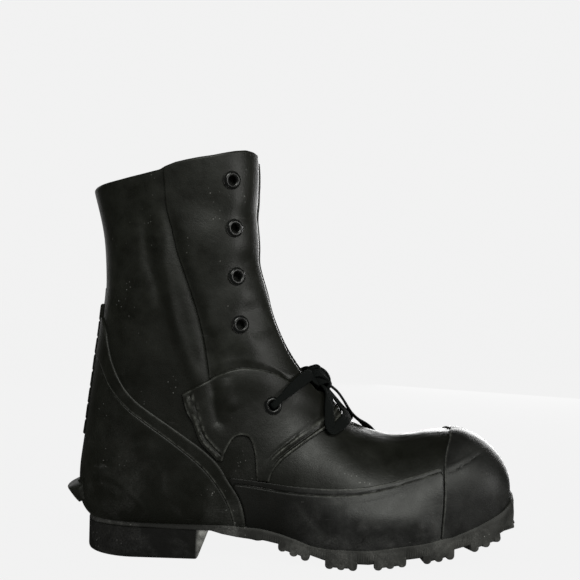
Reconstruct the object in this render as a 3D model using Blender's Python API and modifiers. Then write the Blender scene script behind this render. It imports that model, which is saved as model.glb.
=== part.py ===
"""Extreme cold weather boot: an insulated, all-rubber, lace-up boot for the left foot.

The boot stands on z = 0 with its toe towards +X. Its inner (medial) side faces -Y and
its outer (lateral) side faces +Y. Sizes below are in millimetres.

The surface of the last is a fan of sections. Each section lies in a plane that runs from
a point on the front line (top of the toe, instep, front of the shaft) to a point on the
back line (under the foot, round the heel, up the back). A place on the last is a pair:
`along`, the section number, 0 at the toe tip and 28 at the collar, and `around`, which
runs from 0 on the front line through 1 at the edge of the throat to 2 on the back line,
positive on the inner side and negative on the outer side.
"""
import functools
import math

import bmesh
import bpy
import numpy as np
from mathutils import Vector

MM = 0.001
TO_CENTRE = (1.9, -2.7, 0.0)    # moves the middle of the boot's box over the origin

# ---------------------------------------------------------------- driving sizes, mm
GAP = 0.3               # between touching pieces
WALL = 8.0              # insulated wall
WALL_THIN = 3.0         # wall of the lacing flaps and of the turned-in lasting margin
WALL_COLLAR = 5.0
OVERLAY = 1.6           # thickness of the rubber overlays
THROAT = 13.0           # section at the bottom of the throat
COLLAR = 28.0           # section at the collar
OPENING_FRONT = 4.0     # first and last sections of the opening under the foot
OPENING_BACK = 17.0
EYELETS = ((-51.8, 272.5), (-49.3, 238.5), (-46.0, 204.0), (-42.6, 169.5), (-17.0, 111.5))
HEEL_HALF_WIDTH = 38.5
HEEL_BACK = -151.7
HEEL_BREAST = -68.0     # at the ground
HEEL_BREAST_RAKE = 7.5
HEEL_HEIGHT = 20.9

INSOLE = 5.0
INSOLE_COLUMNS = 3
INSOLE_ROWS = (3.0, 16.5)       # its first and last sections
TONGUE_LAP = 0.8                # sections by which the tongue runs on under the vamp
TONGUE = 2.2
TONGUE_DROP = ((13.0, 14.6, 17.5, 20.0), (GAP, 5.0, 5.0, 0.6))  # section, behind the flaps
ROW_STEP = 10.0         # about how far apart sections lie on the instep
FLAP_REACH = ((17.0, 20.0), (44.0, 28.0))   # section, thin wall behind the throat's edge
VAMP_REACH = 14.0       # thin wall ahead of the throat
WALL_BLEND = 12.0       # over which a thin wall thickens
COLLAR_BLEND = 2.0      # sections below the collar over which the wall thins
MARGIN_SLOPES = (0.5, 0.9)  # how level the underside is where its wall thins

OVERLAY_GAP = 0.35      # under the overlays
UNDER_SOLE_LINE = 1.5   # the overlays' larger forms stop this far below the sole's edge
FAR_SIDE = 90.0         # outlines are run across to here, well clear of the boot,
FAR_BACK = -175.0       # and run out past its heel to here,
FAR_FRONT = 175.0       # past its toe to here
FAR_ABOVE_TOE = 110.0   # and above its toe to here
BEHIND_STRIP = -120.0   # inside the shaft, in front of the back strip
BINDING = 2.1
TOE_CAP = 1.8
TOE_CAP_RISE = 1.1      # the cap's foot over the sole's steep edge
PATCH = 2.0
STAY = 1.3
BACK_STRIP = 2.6
BACK_STRIP_WIDTH = 25.0
BACK_STRIP_HEIGHTS = (82.0, 180.0)
SIDES = {1: "inner", -1: "outer"}

SOLE_COLUMNS = 6        # places of each half that the outsole spans
SOLE_TAPER = 0.8        # how far the sole's edge leans in towards the ground
TOE_LIP = 1.0           # how much further the sole stands out at the tip
LUGS_FROM = -26.0
LUG_GROUP = 34.0
LUG_PITCH = 8.2
LUG_WIDTH = 6.2
LUG_LENGTH = 24.0
LUG_PROUD = 0.4
LUG_ROOT = 1.2
MIDDLE_LUG_LENGTH = 20.0
MIDDLE_LUG_SLANT = 62.0 # degrees
MIDDLE_LUG_STARTS = {1: 3.0, -1: -1.0}      # the y of their inner ends
MIDDLE_LUG_PLACES = (-12.0, 5.0, 22.0, 39.0, 56.0, 73.0, 90.0, 107.0)
HEEL_STEPS = 18
HEEL_FLARE = 0.8        # how much wider each way the heel is at its top
LEDGE_SEAT = 2.6
LEDGE_REACH = (26.0, 18.0, 9.0)
LEDGE_ROWS = (18.82, 19.15, 19.42, 19.62)
LEDGE_PROFILE = ((33.4, 44.4, 48.2), (0.6, 6.2, 1.2))   # height, how far it stands out
LEDGE_ENDS = 0.25       # of that at its two ends

EYELET_HOLE = 4.2
EYELET_HOLE_DEPTH = 24.0
EYELET_STEPS = 8
EYELET_PROFILE = (
    # radius, height above the overlay; below 0 the barrel, under the flap's surface
    (3.0, 1.5), (6.2, 1.3), (6.8, 0.0), (3.9, 0.0), (3.9, -3.4), (3.0, -3.4),
)

# The laces, as places on the last: section, place round it, distance off its surface.
LACE_RADIUS = 1.4
KNOT = (14.9, 0.0, 3.2)
KNOT_RADII = (9.0, 7.6, 6.0)         # across, along the throat, off the surface
LACE_TO_EYELET = ((15.0, 0.62, 3.6), (15.3, 0.82, 4.4), (15.7, 0.98, 5.0),
                  (15.85, 1.06, 5.0), (15.9, 1.13, 5.8))
LACE_IN_EYELET = (5.9, 2.6, -2.6, -6.6)     # distances off the surface, on the axis
LACE_BEHIND = ((15.87, 1.14, -6.6), (15.85, 1.07, -5.4), (15.8, 1.0, -5.2),
               (15.75, 0.5, -5.4))
LACE_MIDDLE = (15.7, 0.0, -5.4)
LACE_ENDS = {
    "lace_loop_inner": ((14.3, 0.42, 4.4), (13.6, 0.86, 5.2), (12.9, 1.08, 5.2),
                        (12.1, 1.15, 4.6), (11.5, 1.06, 4.2), (11.5, 0.80, 4.2),
                        (12.3, 0.50, 4.4), (13.1, 0.30, 4.8), (13.9, 0.16, 5.0)),
    "lace_loop_outer": ((14.3, -0.42, 4.4), (13.6, -0.86, 5.2), (12.7, -1.10, 5.2),
                        (11.7, -1.18, 4.4), (11.0, -1.08, 3.8), (11.1, -0.80, 4.0),
                        (12.0, -0.48, 4.4), (13.0, -0.28, 4.8), (13.9, -0.16, 5.0)),
    "lace_end_long": ((14.15, 0.0, 7.4), (13.2, 0.0, 9.0), (12.2, 0.0, 8.0),
                      (11.2, -0.1, 5.6), (10.4, -0.3, 4.0), (9.8, -0.80, 3.6),
                      (9.3, -1.05, 3.4), (8.8, -1.14, 3.4), (8.45, -1.23, 3.6),
                      (8.2, -1.32, 3.8), (8.05, -1.40, 4.4), (8.0, -1.48, 5.0),
                      (7.96, -1.54, 5.6), (7.94, -1.59, 6.6)),
    "lace_end_short": ((14.8, -0.62, 4.8), (14.6, -0.85, 5.6), (14.3, -1.00, 5.8),
                       (14.0, -1.08, 5.4), (13.75, -1.16, 5.0), (13.55, -1.24, 4.8),
                       (13.4, -1.32, 4.8), (13.3, -1.40, 4.8)),
}

# Side-view outlines (x, z), the same on both sides.
BINDING_FRONT = ((-175.0, 174.0), (-150.0, 174.0), (-141.5, 165.5), (-136.6, 151.0),
                 (-132.5, 139.5), (-123.8, 123.2), (-114.0, 112.8), (-101.8, 104.4),
                 (-85.0, 93.4), (-72.6, 85.0), (-62.5, 77.5), (-53.5, 69.0),
                 (-46.5, 58.0), (-38.8, 47.0), (-34.6, 36.0), (-32.0, 20.0))
COUNTER_FRONT = ((-175.0, 144.0), (-150.0, 143.0), (-141.5, 135.5), (-133.0, 120.5),
                 (-121.0, 107.5), (-107.0, 97.5), (-90.0, 86.0), (-74.0, 74.0),
                 (-62.8, 64.0), (-54.2, 53.8), (-47.8, 44.0), (-43.0, 33.0),
                 (-40.0, 20.0))
FOXING_TOP = ((-47.0, 60.3), (-37.6, 59.8), (-20.0, 58.2), (-2.4, 56.6), (14.5, 56.0),
              (31.3, 56.0), (48.1, 57.2), (64.9, 60.4), (81.6, 64.8), (93.4, 68.6),
              (106.0, 72.5))
CAP_EDGE = ((119.0, 100.0), (116.0, 94.0), (112.5, 88.0), (109.0, 81.0), (106.8, 72.0),
            (106.2, 56.0), (105.6, 44.0), (104.8, 33.0), (104.4, 18.0))
PATCH_TOP = ((-81.3, 119.1), (-73.7, 123.6), (-61.1, 130.6), (-48.5, 136.4),
             (-38.6, 138.2), (-28.6, 137.2), (-18.5, 134.7), (-11.3, 131.4),
             (-5.0, 128.0), (8.0, 127.0))
PATCH_FRONT = ((36.0, 122.0), (34.4, 104.1), (32.6, 101.2), (27.5, 97.8), (19.6, 93.8),
               (8.9, 87.0), (-1.5, 79.6), (-9.0, 73.4), (-13.5, 68.0), (-15.8, 63.5))
PATCH_FOOT = ((-17.0, 57.8), (-26.3, 58.8))
PATCH_NOTCH = ((-26.9, 64.5), (-28.3, 76.6), (-31.7, 87.4), (-35.5, 90.2), (-40.5, 90.2),
               (-44.6, 87.0), (-49.0, 78.6), (-51.0, 71.6))
PATCH_BACK = ((-54.4, 71.9), (-62.0, 79.2), (-68.0, 86.0), (-72.0, 96.0), (-75.6, 107.0))
STAY_BACK = ((-99.5, 277.5), (-98.0, 264.0), (-96.4, 250.0), (-92.3, 236.0),
             (-88.3, 220.3), (-82.5, 204.7), (-73.9, 181.2), (-67.9, 160.4),
             (-65.0, 145.0), (-63.0, 130.6))
STAY_TOP = [(-99.5, 278.6), (-70.0, 286.4), (-26.0, 296.2)]

# The last, a row for each section: the ends of the section on the front line and on the
# back line, how far it reaches to the inner and the outer side of y = 0, the y of its
# ridge, where it is widest (0 front, 1 back), and how square its two halves are.
LAST = (
    # name      front_x front_z  back_x back_z inner outer ridge  wide front_sq back_sq
    ("tip",      158.6,  56.0,   158.6,  56.0,  6.0, -6.0, -6.0, 0.50, 2.2, 2.2),
    ("nose",     157.2,  65.0,   157.2,  44.0, 23.0, 11.0, -6.0, 0.50, 2.2, 2.3),
    ("face",     153.2,  74.0,   154.0,  34.5, 35.0, 23.5, -6.0, 0.52, 2.2, 3.2),
    ("brow",     146.2,  82.5,   147.5,  28.5, 42.5, 33.5, -5.0, 0.55, 2.2, 4.2),
    ("crown",    136.0,  89.5,   138.5,  24.4, 47.5, 41.5, -4.0, 0.58, 2.2, 5.0),
    ("cap",      121.0,  94.4,   125.0,  20.6, 51.5, 49.0, -2.0, 0.62, 2.1, 5.6),
    ("box",      104.0,  93.0,   109.0,  17.2, 54.5, 55.0,  0.0, 0.65, 2.0, 6.0),
    ("vamp",      88.0,  90.0,    92.0,  14.4, 56.5, 59.5,  1.0, 0.67, 1.9, 6.0),
    ("break",     74.0,  88.6,    74.0,  11.8, 57.5, 62.0,  2.0, 0.68, 1.8, 6.0),
    ("ball",      60.5,  90.8,    55.0,  10.0, 57.5, 63.0,  2.0, 0.69, 1.8, 6.0),
    ("joint",     49.0,  94.6,    34.0,   9.8, 56.0, 62.0,  2.0, 0.69, 1.8, 6.0),
    ("waist",     40.0,  99.5,    11.0,  12.0, 53.0, 59.0,  2.0, 0.68, 1.9, 6.0),
    ("arch",      32.5, 106.0,   -12.0,  17.4, 49.5, 55.0,  1.0, 0.66, 1.9, 6.5),
    ("throat",    26.0, 112.5,   -36.0,  21.4, 47.0, 51.5,  1.0, 0.64, 2.0, 7.0),
    ("instep",    19.5, 119.5,   -61.0,  23.3, 45.0, 49.0,  0.0, 0.62, 2.1, 8.0),
    ("seat_1",    13.0, 127.0,   -87.0,  23.4, 44.0, 47.0,  0.0, 0.60, 2.2, 8.0),
    ("seat_2",     6.5, 135.5,  -112.0,  23.4, 43.5, 45.5,  0.0, 0.58, 2.3, 7.0),
    ("seat_3",     0.0, 144.5,  -134.0,  23.4, 43.5, 45.0,  0.0, 0.56, 2.4, 5.0),
    ("corner",    -6.5, 154.5,  -149.5,  25.4, 44.0, 45.0,  0.0, 0.55, 2.5, 3.2),
    ("heel",     -12.5, 166.0,  -157.6,  36.0, 44.5, 45.0,  0.0, 0.55, 2.6, 2.6),
    ("bulge",    -18.0, 179.0,  -159.0,  56.0, 45.0, 45.0,  0.0, 0.54, 2.7, 2.4),
    ("counter",  -22.5, 193.0,  -157.2,  77.0, 45.5, 45.5,  0.0, 0.53, 2.8, 2.3),
    ("tendon_1", -26.5, 207.5,  -154.0,  99.0, 46.0, 46.0,  0.0, 0.52, 2.8, 2.3),
    ("tendon_2", -29.5, 222.5,  -151.0, 122.0, 46.5, 46.5,  0.0, 0.51, 2.8, 2.3),
    ("shaft_1",  -31.3, 238.0,  -149.3, 146.0, 47.0, 47.0,  0.0, 0.50, 2.8, 2.3),
    ("shaft_2",  -32.0, 252.0,  -147.0, 170.0, 47.5, 47.5,  0.0, 0.50, 2.8, 2.3),
    ("shaft_3",  -32.0, 265.0,  -144.8, 195.0, 48.5, 48.5,  0.0, 0.50, 2.8, 2.3),
    ("shaft_4",  -32.2, 277.5,  -147.8, 228.0, 49.5, 49.5,  0.0, 0.50, 2.8, 2.3),
    ("collar",   -32.3, 290.4,  -156.2, 262.5, 51.0, 51.0,  0.0, 0.50, 2.8, 2.3),
    ("above",    -32.5, 304.0,  -166.0, 298.0, 52.5, 52.5,  0.0, 0.50, 2.8, 2.3),
)

# Half the throat's width, measured round the surface from the front line.
THROAT_WIDTH = (
    # section, half width
    (0.0, 12.0), (13.0, 12.0), (16.0, 16.0), (20.0, 19.0), (28.0, 23.0), (29.0, 23.5),
)

# The sole, a row for each x: its underside between the lugs, the underside of its lugs,
# the top of its edge, and how far the edge stands out from the upper.
SOLE = (
    # x, base_z, ground_z, edge_z, lip
    (-170.0, 21.2, 21.2, 25.8, 1.6),
    (-58.0, 21.2, 21.2, 25.8, 1.6),
    (-50.0, 19.4, 18.6, 26.0, 1.8),
    (-40.0, 18.0, 16.5, 25.8, 2.0),
    (-20.0, 16.0, 14.0, 24.0, 2.4),
    (-8.0, 13.8, 10.6, 21.5, 2.6),
    (4.0, 11.0, 6.2, 18.0, 2.8),
    (14.0, 7.2, 3.4, 15.4, 2.8),
    (27.0, 3.6, 0.0, 14.4, 2.8),
    (55.0, 3.6, 0.0, 14.9, 2.8),
    (64.0, 5.4, 1.8, 16.2, 2.8),
    (78.0, 7.8, 4.2, 18.6, 2.8),
    (96.0, 10.4, 6.8, 21.4, 2.8),
    (113.0, 15.0, 10.0, 25.0, 2.8),
    (130.0, 20.0, 15.4, 31.5, 3.2),
    (147.0, 26.0, 22.0, 40.5, 4.2),
    (158.0, 31.2, 27.6, 49.5, 5.4),
    (168.0, 36.0, 33.0, 52.5, 6.0),
)


# ---------------------------------------------------------------- the last's surface
LAST_SIZES = np.array([row[1:] for row in LAST])
SOLE_SIZES = np.array(SOLE)
THROAT_SIZES = np.array(THROAT_WIDTH)
ARC_STEPS = 33          # points along a quarter of a section
WIDEST_THROAT = 0.2     # the most of a half section that the throat takes


def curve_through(rows, index, part):
    """A Catmull-Rom curve through rows, at a part of the way from one row to the next."""
    before, start, end, after = (
        rows[min(max(index + step, 0), len(rows) - 1)] for step in (-1, 0, 1, 2))
    return 0.5 * (2.0 * start + (end - before) * part
                  + (2.0 * before - 5.0 * start + 4.0 * end - after) * part ** 2
                  + (3.0 * (start - end) + after - before) * part ** 3)


def last_section(along):
    """The last's sizes at a section number."""
    last_row = len(LAST_SIZES) - 1
    along = min(max(along, 0.0), float(last_row))
    index = min(int(along), last_row - 1)
    return curve_through(LAST_SIZES, index, along - index)


@functools.lru_cache(maxsize=None)
def half_section(along, side):
    """Half a section as points, with each point's distance from the front line.

    side is +1 for the inner half (-Y) and -1 for the outer half."""
    (front_x, front_z, back_x, back_z, inner, outer, ridge, wide,
     front_square, back_square) = last_section(along)
    reach = inner + ridge if side > 0 else outer - ridge
    turn = np.linspace(0.0, math.pi / 2.0, ARC_STEPS)
    sine = np.clip(np.sin(turn), 0.0, 1.0)
    cosine = np.clip(np.cos(turn), 0.0, 1.0)
    down_front = wide * (1.0 - cosine ** (2.0 / front_square))
    out_front = sine ** (2.0 / front_square)
    down_back = wide + (1.0 - wide) * sine ** (2.0 / back_square)
    out_back = cosine ** (2.0 / back_square)
    down = np.concatenate([down_front, down_back[1:]])
    out = np.concatenate([out_front, out_back[1:]]) * reach
    points = np.stack([front_x + (back_x - front_x) * down, ridge - side * out,
                       front_z + (back_z - front_z) * down], axis=1)
    steps = np.linalg.norm(np.diff(points, axis=0), axis=1)
    return points, np.concatenate([[0.0], np.cumsum(steps)]), down


def throat_share(along, length):
    """The throat's half width as a share of a half section's length."""
    width = np.interp(along, THROAT_SIZES[:, 0], THROAT_SIZES[:, 1])
    return min(width / max(length, 1.0), WIDEST_THROAT)


@functools.lru_cache(maxsize=None)
def last_point(along, around):
    """A point of the last's surface."""
    points, distance, _ = half_section(along, 1 if around >= 0.0 else -1)
    length = distance[-1]
    if length < 1e-6:
        return points[0]
    edge = throat_share(along, length)
    size = min(abs(around), 2.0)
    share = size * edge if size <= 1.0 else edge + (size - 1.0) * (1.0 - edge)
    return np.array([np.interp(share * length, distance, points[:, axis])
                     for axis in range(3)])


@functools.lru_cache(maxsize=None)
def last_normal(along, around):
    """The outward normal of the last's surface."""
    step_along, step_around = 0.05, 0.03
    low, high = max(along - step_along, 0.0), min(along + step_along, len(LAST) - 1.0)
    lengthwise = last_point(high, around) - last_point(low, around)

    def beside(step):
        place = around + step
        if abs(place) > 2.0:
            place -= math.copysign(4.0, place)
        return last_point(along, place)

    crosswise = beside(step_around) - beside(-step_around)
    normal = np.cross(lengthwise, crosswise)
    size = np.linalg.norm(normal)
    if size < 1e-6:
        return np.array([1.0, 0.0, 0.0])
    return normal / size


def off_last(along, around, offset):
    """A point at a distance from the last's surface."""
    return last_point(along, around) + offset * last_normal(along, around)


def locate(x, z, side):
    """The place (along, around) on one side of the last that lies at x and z."""
    def miss(along):
        front_x, front_z, back_x, back_z = last_section(along)[:4]
        return (x - front_x) * (back_z - front_z) - (z - front_z) * (back_x - front_x)

    low, high = 0.3, len(LAST) - 1.0
    low_sign = miss(low) > 0.0
    for _ in range(40):
        middle = 0.5 * (low + high)
        if (miss(middle) > 0.0) == low_sign:
            low = middle
        else:
            high = middle
    along = 0.5 * (low + high)
    front_x, front_z, back_x, back_z = last_section(along)[:4]
    chord = np.array([back_x - front_x, back_z - front_z])
    share = np.dot([x - front_x, z - front_z], chord) / np.dot(chord, chord)
    _, distance, down = half_section(along, side)
    share = np.interp(min(max(share, 0.0), 1.0), down, distance) / distance[-1]
    edge = throat_share(along, distance[-1])
    around = share / edge if share < edge else 1.0 + (share - edge) / (1.0 - edge)
    return along, side * around


def sole_size(x, column):
    return float(np.interp(x, SOLE_SIZES[:, 0], SOLE_SIZES[:, column]))


def sole_edge(along, side):
    """Where the top of the sole's edge crosses a section, or 2 if it doesn't."""
    points, distance, _ = half_section(along, side)
    if distance[-1] < 1e-6:
        return 2.0
    above = points[:, 2] - np.interp(points[:, 0], SOLE_SIZES[:, 0], SOLE_SIZES[:, 3])
    if above[-1] >= 0.0:
        return 2.0
    index = int(np.max(np.nonzero(above >= 0.0)))
    part = above[index] / (above[index] - above[index + 1])
    share = (distance[index] + part * (distance[index + 1] - distance[index])) / distance[-1]
    edge = throat_share(along, distance[-1])
    return 1.0 + (share - edge) / (1.0 - edge)


# ---------------------------------------------------------------- sheets on the last
FRONT_PLACES = (-1.0, -0.5, 0.0, 0.5, 1.0)
FLAP_DISTANCES = (12.0, 27.0)                   # from the throat's edge
BACK_DISTANCES = (44.0, 31.0, 20.0, 9.0)        # from the back line
SIDE_COLUMNS = 4
OPENING_COLUMNS = 3                             # on each side of the back line


def spread(start, end, count):
    """count places from start to end, without start."""
    return [start + (end - start) * step / count for step in range(1, count + 1)]


def half_columns(along, side):
    """The places from the throat's edge to the back line at which a half is divided."""
    _, distance, _ = half_section(along, side)
    length = distance[-1] * (1.0 - throat_share(along, distance[-1])) if distance[-1] else 1.0
    scale = min(1.0, length / 110.0)
    near = [share * scale for share in FLAP_DISTANCES]
    far = [length - share * scale for share in BACK_DISTANCES]
    middle = spread(near[-1], far[0], SIDE_COLUMNS)[:-1]
    return [1.0 + place / length for place in near + middle + far] + [2.0]


@functools.lru_cache(maxsize=None)
def columns(along):
    """The places round one section at which the last is divided, from back to back."""
    outer = [-place for place in half_columns(along, -1)]
    return outer[::-1] + list(FRONT_PLACES) + half_columns(along, 1)


def last_rows():
    """The sections at which the last is divided, closer round the toe's tip."""
    return ([0.0, 0.5, 1.0, 1.5] + [float(row) for row in range(2, 13)]
            + [THROAT] + spread(THROAT, 17.0, 4) + spread(17.0, 20.0, 4)
            + spread(20.0, COLLAR, 8))


def sheet(rows, places_at, skip=None):
    """A net of spots (along, around) and its triangles. Spots that coincide are one."""
    spots, numbers, faces = [], {}, []

    def number(along, around):
        key = tuple(np.round(last_point(along, around), 4))
        if key not in numbers:
            numbers[key] = len(spots)
            spots.append((along, around))
        return numbers[key]

    for row, (low, high) in enumerate(zip(rows, rows[1:])):
        low_places, high_places = places_at(low), places_at(high)
        for column in range(len(low_places) - 1):
            if skip and skip(row, column):
                continue
            face = [number(low, low_places[column]), number(low, low_places[column + 1]),
                    number(high, high_places[column + 1]), number(high, high_places[column])]
            face = [spot for spot, other in zip(face, face[1:] + face[:1]) if spot != other]
            faces += [[face[0], second, third] for second, third in zip(face[1:], face[2:])]
    return spots, faces


def thicken(net, outer, inner):
    """A closed solid between two offsets of a net, as points and faces."""
    spots, faces = net
    points = [outer(*spot) for spot in spots] + [inner(*spot) for spot in spots]
    count = len(spots)
    edges = {}
    for face in faces:
        for start, end in zip(face, face[1:] + face[:1]):
            edges[(start, end)] = True
    walls = [[end, start, start + count, end + count]
             for start, end in edges if (end, start) not in edges]
    inside = [[spot + count for spot in reversed(face)] for face in faces]
    return points, faces + inside + walls


# ---------------------------------------------------------------- objects
def clear_scene():
    for item in list(bpy.data.objects):
        bpy.data.objects.remove(item, do_unlink=True)


def collection(name):
    found = bpy.data.collections.new(name)
    bpy.context.scene.collection.children.link(found)
    return found


def material(name, colour, roughness, metallic=0.0):
    made = bpy.data.materials.new(name)
    made.use_nodes = True
    shader = made.node_tree.nodes["Principled BSDF"]
    shader.inputs["Base Color"].default_value = (*colour, 1.0)
    shader.inputs["Roughness"].default_value = roughness
    shader.inputs["Metallic"].default_value = metallic
    return made


def move_to(item, home):
    """Takes an object out of its collections and puts it in home."""
    for owner in list(item.users_collection):
        owner.objects.unlink(item)
    home.objects.link(item)


def add_object(name, points, faces, finish, home):
    """A mesh object from points in millimetres, its faces turned outward."""
    mesh = bpy.data.meshes.new(name)
    shape = bmesh.new()
    corners = [shape.verts.new(Vector(point) * MM) for point in points]
    for face in faces:
        shape.faces.new([corners[index] for index in face])
    bmesh.ops.recalc_face_normals(shape, faces=shape.faces)
    shape.to_mesh(mesh)
    shape.free()
    mesh.materials.append(finish)
    mesh.shade_smooth()
    mesh.set_sharp_from_angle(angle=math.radians(40.0))
    made = bpy.data.objects.new(name, mesh)
    home.objects.link(made)
    return made


def cut(target, cutter, operation, solver="EXACT"):
    """A live Boolean with a cutter, which is kept out of the render."""
    cutter.hide_render = True
    cutter.display_type = "WIRE"
    boolean = target.modifiers.new(operation.lower(), "BOOLEAN")
    boolean.operation = operation
    boolean.solver = solver
    boolean.object = cutter


def prism(name, outline, low_y, high_y, home):
    """A side-view outline (x, z) run across from low_y to high_y."""
    outline = [point for point, other in zip(outline, outline[-1:] + outline[:-1])
               if math.dist(point, other) > 0.05]
    count = len(outline)
    points = [(x, y, z) for y in (low_y, high_y) for x, z in outline]
    faces = [list(range(count)), list(range(2 * count - 1, count - 1, -1))]
    faces += [[index, (index + 1) % count, (index + 1) % count + count, index + count]
              for index in range(count)]
    return add_object(name, points, faces, None, home)


# ---------------------------------------------------------------- upper, insole, tongue
def wall(along, around):
    """The upper's wall: thin at the throat, underneath and towards the collar."""
    _, distance, _ = half_section(along, 1 if around >= 0.0 else -1)
    length = distance[-1]
    from_edge = max(abs(around) - 1.0, 0.0) * (1.0 - throat_share(along, length)) * length
    reach = np.interp(along, *FLAP_REACH)
    if along < THROAT:
        from_edge = math.hypot(from_edge, (THROAT - along) * ROW_STEP)
        reach = VAMP_REACH + (reach - VAMP_REACH) * max(0.0, 1.0 - 0.5 * (THROAT - along))
    thickness = np.interp(from_edge, (reach, reach + WALL_BLEND), (WALL_THIN, WALL))
    if along < OPENING_BACK + 1.0:
        level = -last_normal(along, around)[2]
        thickness = min(thickness, np.interp(level, MARGIN_SLOPES, (WALL, WALL_THIN)))
    return min(thickness, np.interp(along, (COLLAR - COLLAR_BLEND, COLLAR),
                                    (WALL, WALL_COLLAR)))


def in_throat(row_along, column):
    """Whether a cell of the last's net lies in the throat's opening."""
    middle = (len(columns(THROAT)) - 1) // 2
    return row_along >= THROAT and middle - 2 <= column < middle + 2


def make_upper(finish, home):
    """Hollow foot and shaft, open at the collar, down the throat and underneath."""
    rows = last_rows()
    last_column = len(columns(THROAT)) - 2

    def skip(row, column):
        under_foot = min(column, last_column - column) < OPENING_COLUMNS
        opening = under_foot and OPENING_FRONT <= rows[row] < OPENING_BACK
        return opening or in_throat(rows[row], column)

    solid = thicken(sheet(rows, columns, skip), last_point,
                    lambda along, around: off_last(along, around, -wall(along, around)))
    return add_object("upper", *solid, finish, home)


def make_insole(finish, home):
    """The foot bed, which lies on the turned-in margin of the upper."""
    rows = [row for row in last_rows() if INSOLE_ROWS[0] <= row <= INSOLE_ROWS[1]]

    def under_foot(along):
        inner = [place for place in half_columns(along, 1)[-1 - INSOLE_COLUMNS:]]
        outer = [-place for place in half_columns(along, -1)[-1 - INSOLE_COLUMNS:]]
        return inner + outer[::-1]

    def bed(depth):
        return lambda along, around: off_last(along, around,
                                              -wall(along, around) - GAP - depth)

    solid = thicken(sheet(rows, under_foot), bed(0.0), bed(INSOLE))
    return add_object("insole", *solid, finish, home)


def make_tongue(finish, home):
    """The gusset behind the throat, lapped under both flaps and under the vamp."""
    rows = [THROAT - TONGUE_LAP] + [row for row in last_rows() if THROAT <= row < COLLAR]

    def behind_throat(along):
        return ([-half_columns(along, -1)[0]] + list(FRONT_PLACES)
                + [half_columns(along, 1)[0]])

    def face(depth):
        def place(along, around):
            drop = np.interp(along, TONGUE_DROP[0], TONGUE_DROP[1])
            return off_last(along, around, -WALL_THIN - drop - depth)
        return place

    solid = thicken(sheet(rows, behind_throat), face(0.0), face(TONGUE))
    return add_object("tongue", *solid, finish, home)


# ---------------------------------------------------------------- overlays
def sole_line(start, end, rise):
    """Points along the top of the sole's edge, a little above it."""
    inside = [x for x in SOLE_SIZES[:, 0] if min(start, end) < x < max(start, end)]
    places = [start] + sorted(inside, reverse=bool(start > end)) + [end]
    return [(x, sole_size(x, 3) + rise) for x in places]


def half_across(side):
    """From the middle of the boot out past one of its sides."""
    return (-FAR_SIDE, 0.0) if side > 0 else (0.0, FAR_SIDE)


def above_sole(outline):
    """The part of an edge that falls from above to the top of the sole's edge."""
    points = [np.array(point) for point in outline]
    heights = [point[1] - sole_size(point[0], 3) - GAP for point in points]
    last = next(index for index, height in enumerate(heights) if height <= 0.0)
    part = heights[last - 1] / (heights[last - 1] - heights[last])
    end = points[last - 1] + part * (points[last] - points[last - 1])
    return points[:last] + [end]


def overlay(name, outline, across, inner, outer, finish, home, cutters):
    """What lies inside a side-view outline between two larger forms of the last.

    The larger forms' stepped lower rim brushes itself, which the exact solver refuses."""
    rows = last_rows() + [COLLAR + 1.0]

    def skip(row, column):
        corners = [last_point(along, columns(along)[place])
                   for along in rows[row:row + 2] for place in (column, column + 1)]
        under = all(point[2] < sole_size(point[0], 3) - UNDER_SOLE_LINE for point in corners)
        return under or in_throat(rows[row], column)

    net = sheet(rows, columns, skip)
    solid = thicken(net, lambda along, around: off_last(along, around, outer),
                    lambda along, around: off_last(along, around, inner))
    made = add_object(name, *solid, finish, home)
    cut(made, prism(name + "_outline", outline, *across, cutters), "INTERSECT", "MANIFOLD")
    return made


def shifted(outline, x, z):
    return [(point[0] + x, point[1] + z) for point in outline]


def make_heel_counter(finish, home, cutters):
    """The heel counter and, on each side, the binding strip along its front edge."""
    bound = above_sole(BINDING_FRONT)
    inner = above_sole(COUNTER_FRONT)
    counter = sole_line(FAR_BACK, inner[-1][0] - GAP, GAP) + shifted(inner, -GAP, 0.0)[::-1]
    strip = sole_line(inner[-1][0], bound[-1][0], GAP) + bound[::-1] + inner
    half = 0.5 * BACK_STRIP_WIDTH + GAP
    made = overlay("heel_counter", counter, (-FAR_SIDE, FAR_SIDE), OVERLAY_GAP,
                   OVERLAY_GAP + OVERLAY, finish, home, cutters)
    strip_low, strip_high = BACK_STRIP_HEIGHTS
    room = [(FAR_BACK, strip_low - GAP), (BEHIND_STRIP, strip_low - GAP),
            (BEHIND_STRIP, strip_high + GAP), (FAR_BACK, strip_high + GAP)]
    cut(made, prism("back_strip_room", room, -half, half, cutters), "DIFFERENCE")
    for side in SIDES:
        across = (-FAR_SIDE, -half) if side > 0 else (half, FAR_SIDE)
        overlay("counter_binding_" + SIDES[side], strip, across, OVERLAY_GAP,
                OVERLAY_GAP + BINDING, finish, home, cutters)


def make_back_strip(finish, home, cutters):
    """The segmented strip up the back, let in between the counter's two wings."""
    low, high = BACK_STRIP_HEIGHTS
    half = 0.5 * BACK_STRIP_WIDTH
    outline = [(FAR_BACK, low), (BEHIND_STRIP, low), (BEHIND_STRIP, high), (FAR_BACK, high)]
    overlay("back_strip", outline, (-half, half), OVERLAY_GAP, OVERLAY_GAP + BACK_STRIP,
            finish, home, cutters)


def make_toe_cap(finish, home, cutters):
    """The bulbous cap over the toe."""
    edge = above_sole(CAP_EDGE)
    outline = (sole_line(edge[-1][0], FAR_FRONT, TOE_CAP_RISE)
               + [(FAR_FRONT, FAR_ABOVE_TOE), (edge[0][0], FAR_ABOVE_TOE)] + edge)
    overlay("toe_cap", outline, (-FAR_SIDE, FAR_SIDE), OVERLAY_GAP, OVERLAY_GAP + TOE_CAP,
            finish, home, cutters)


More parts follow.
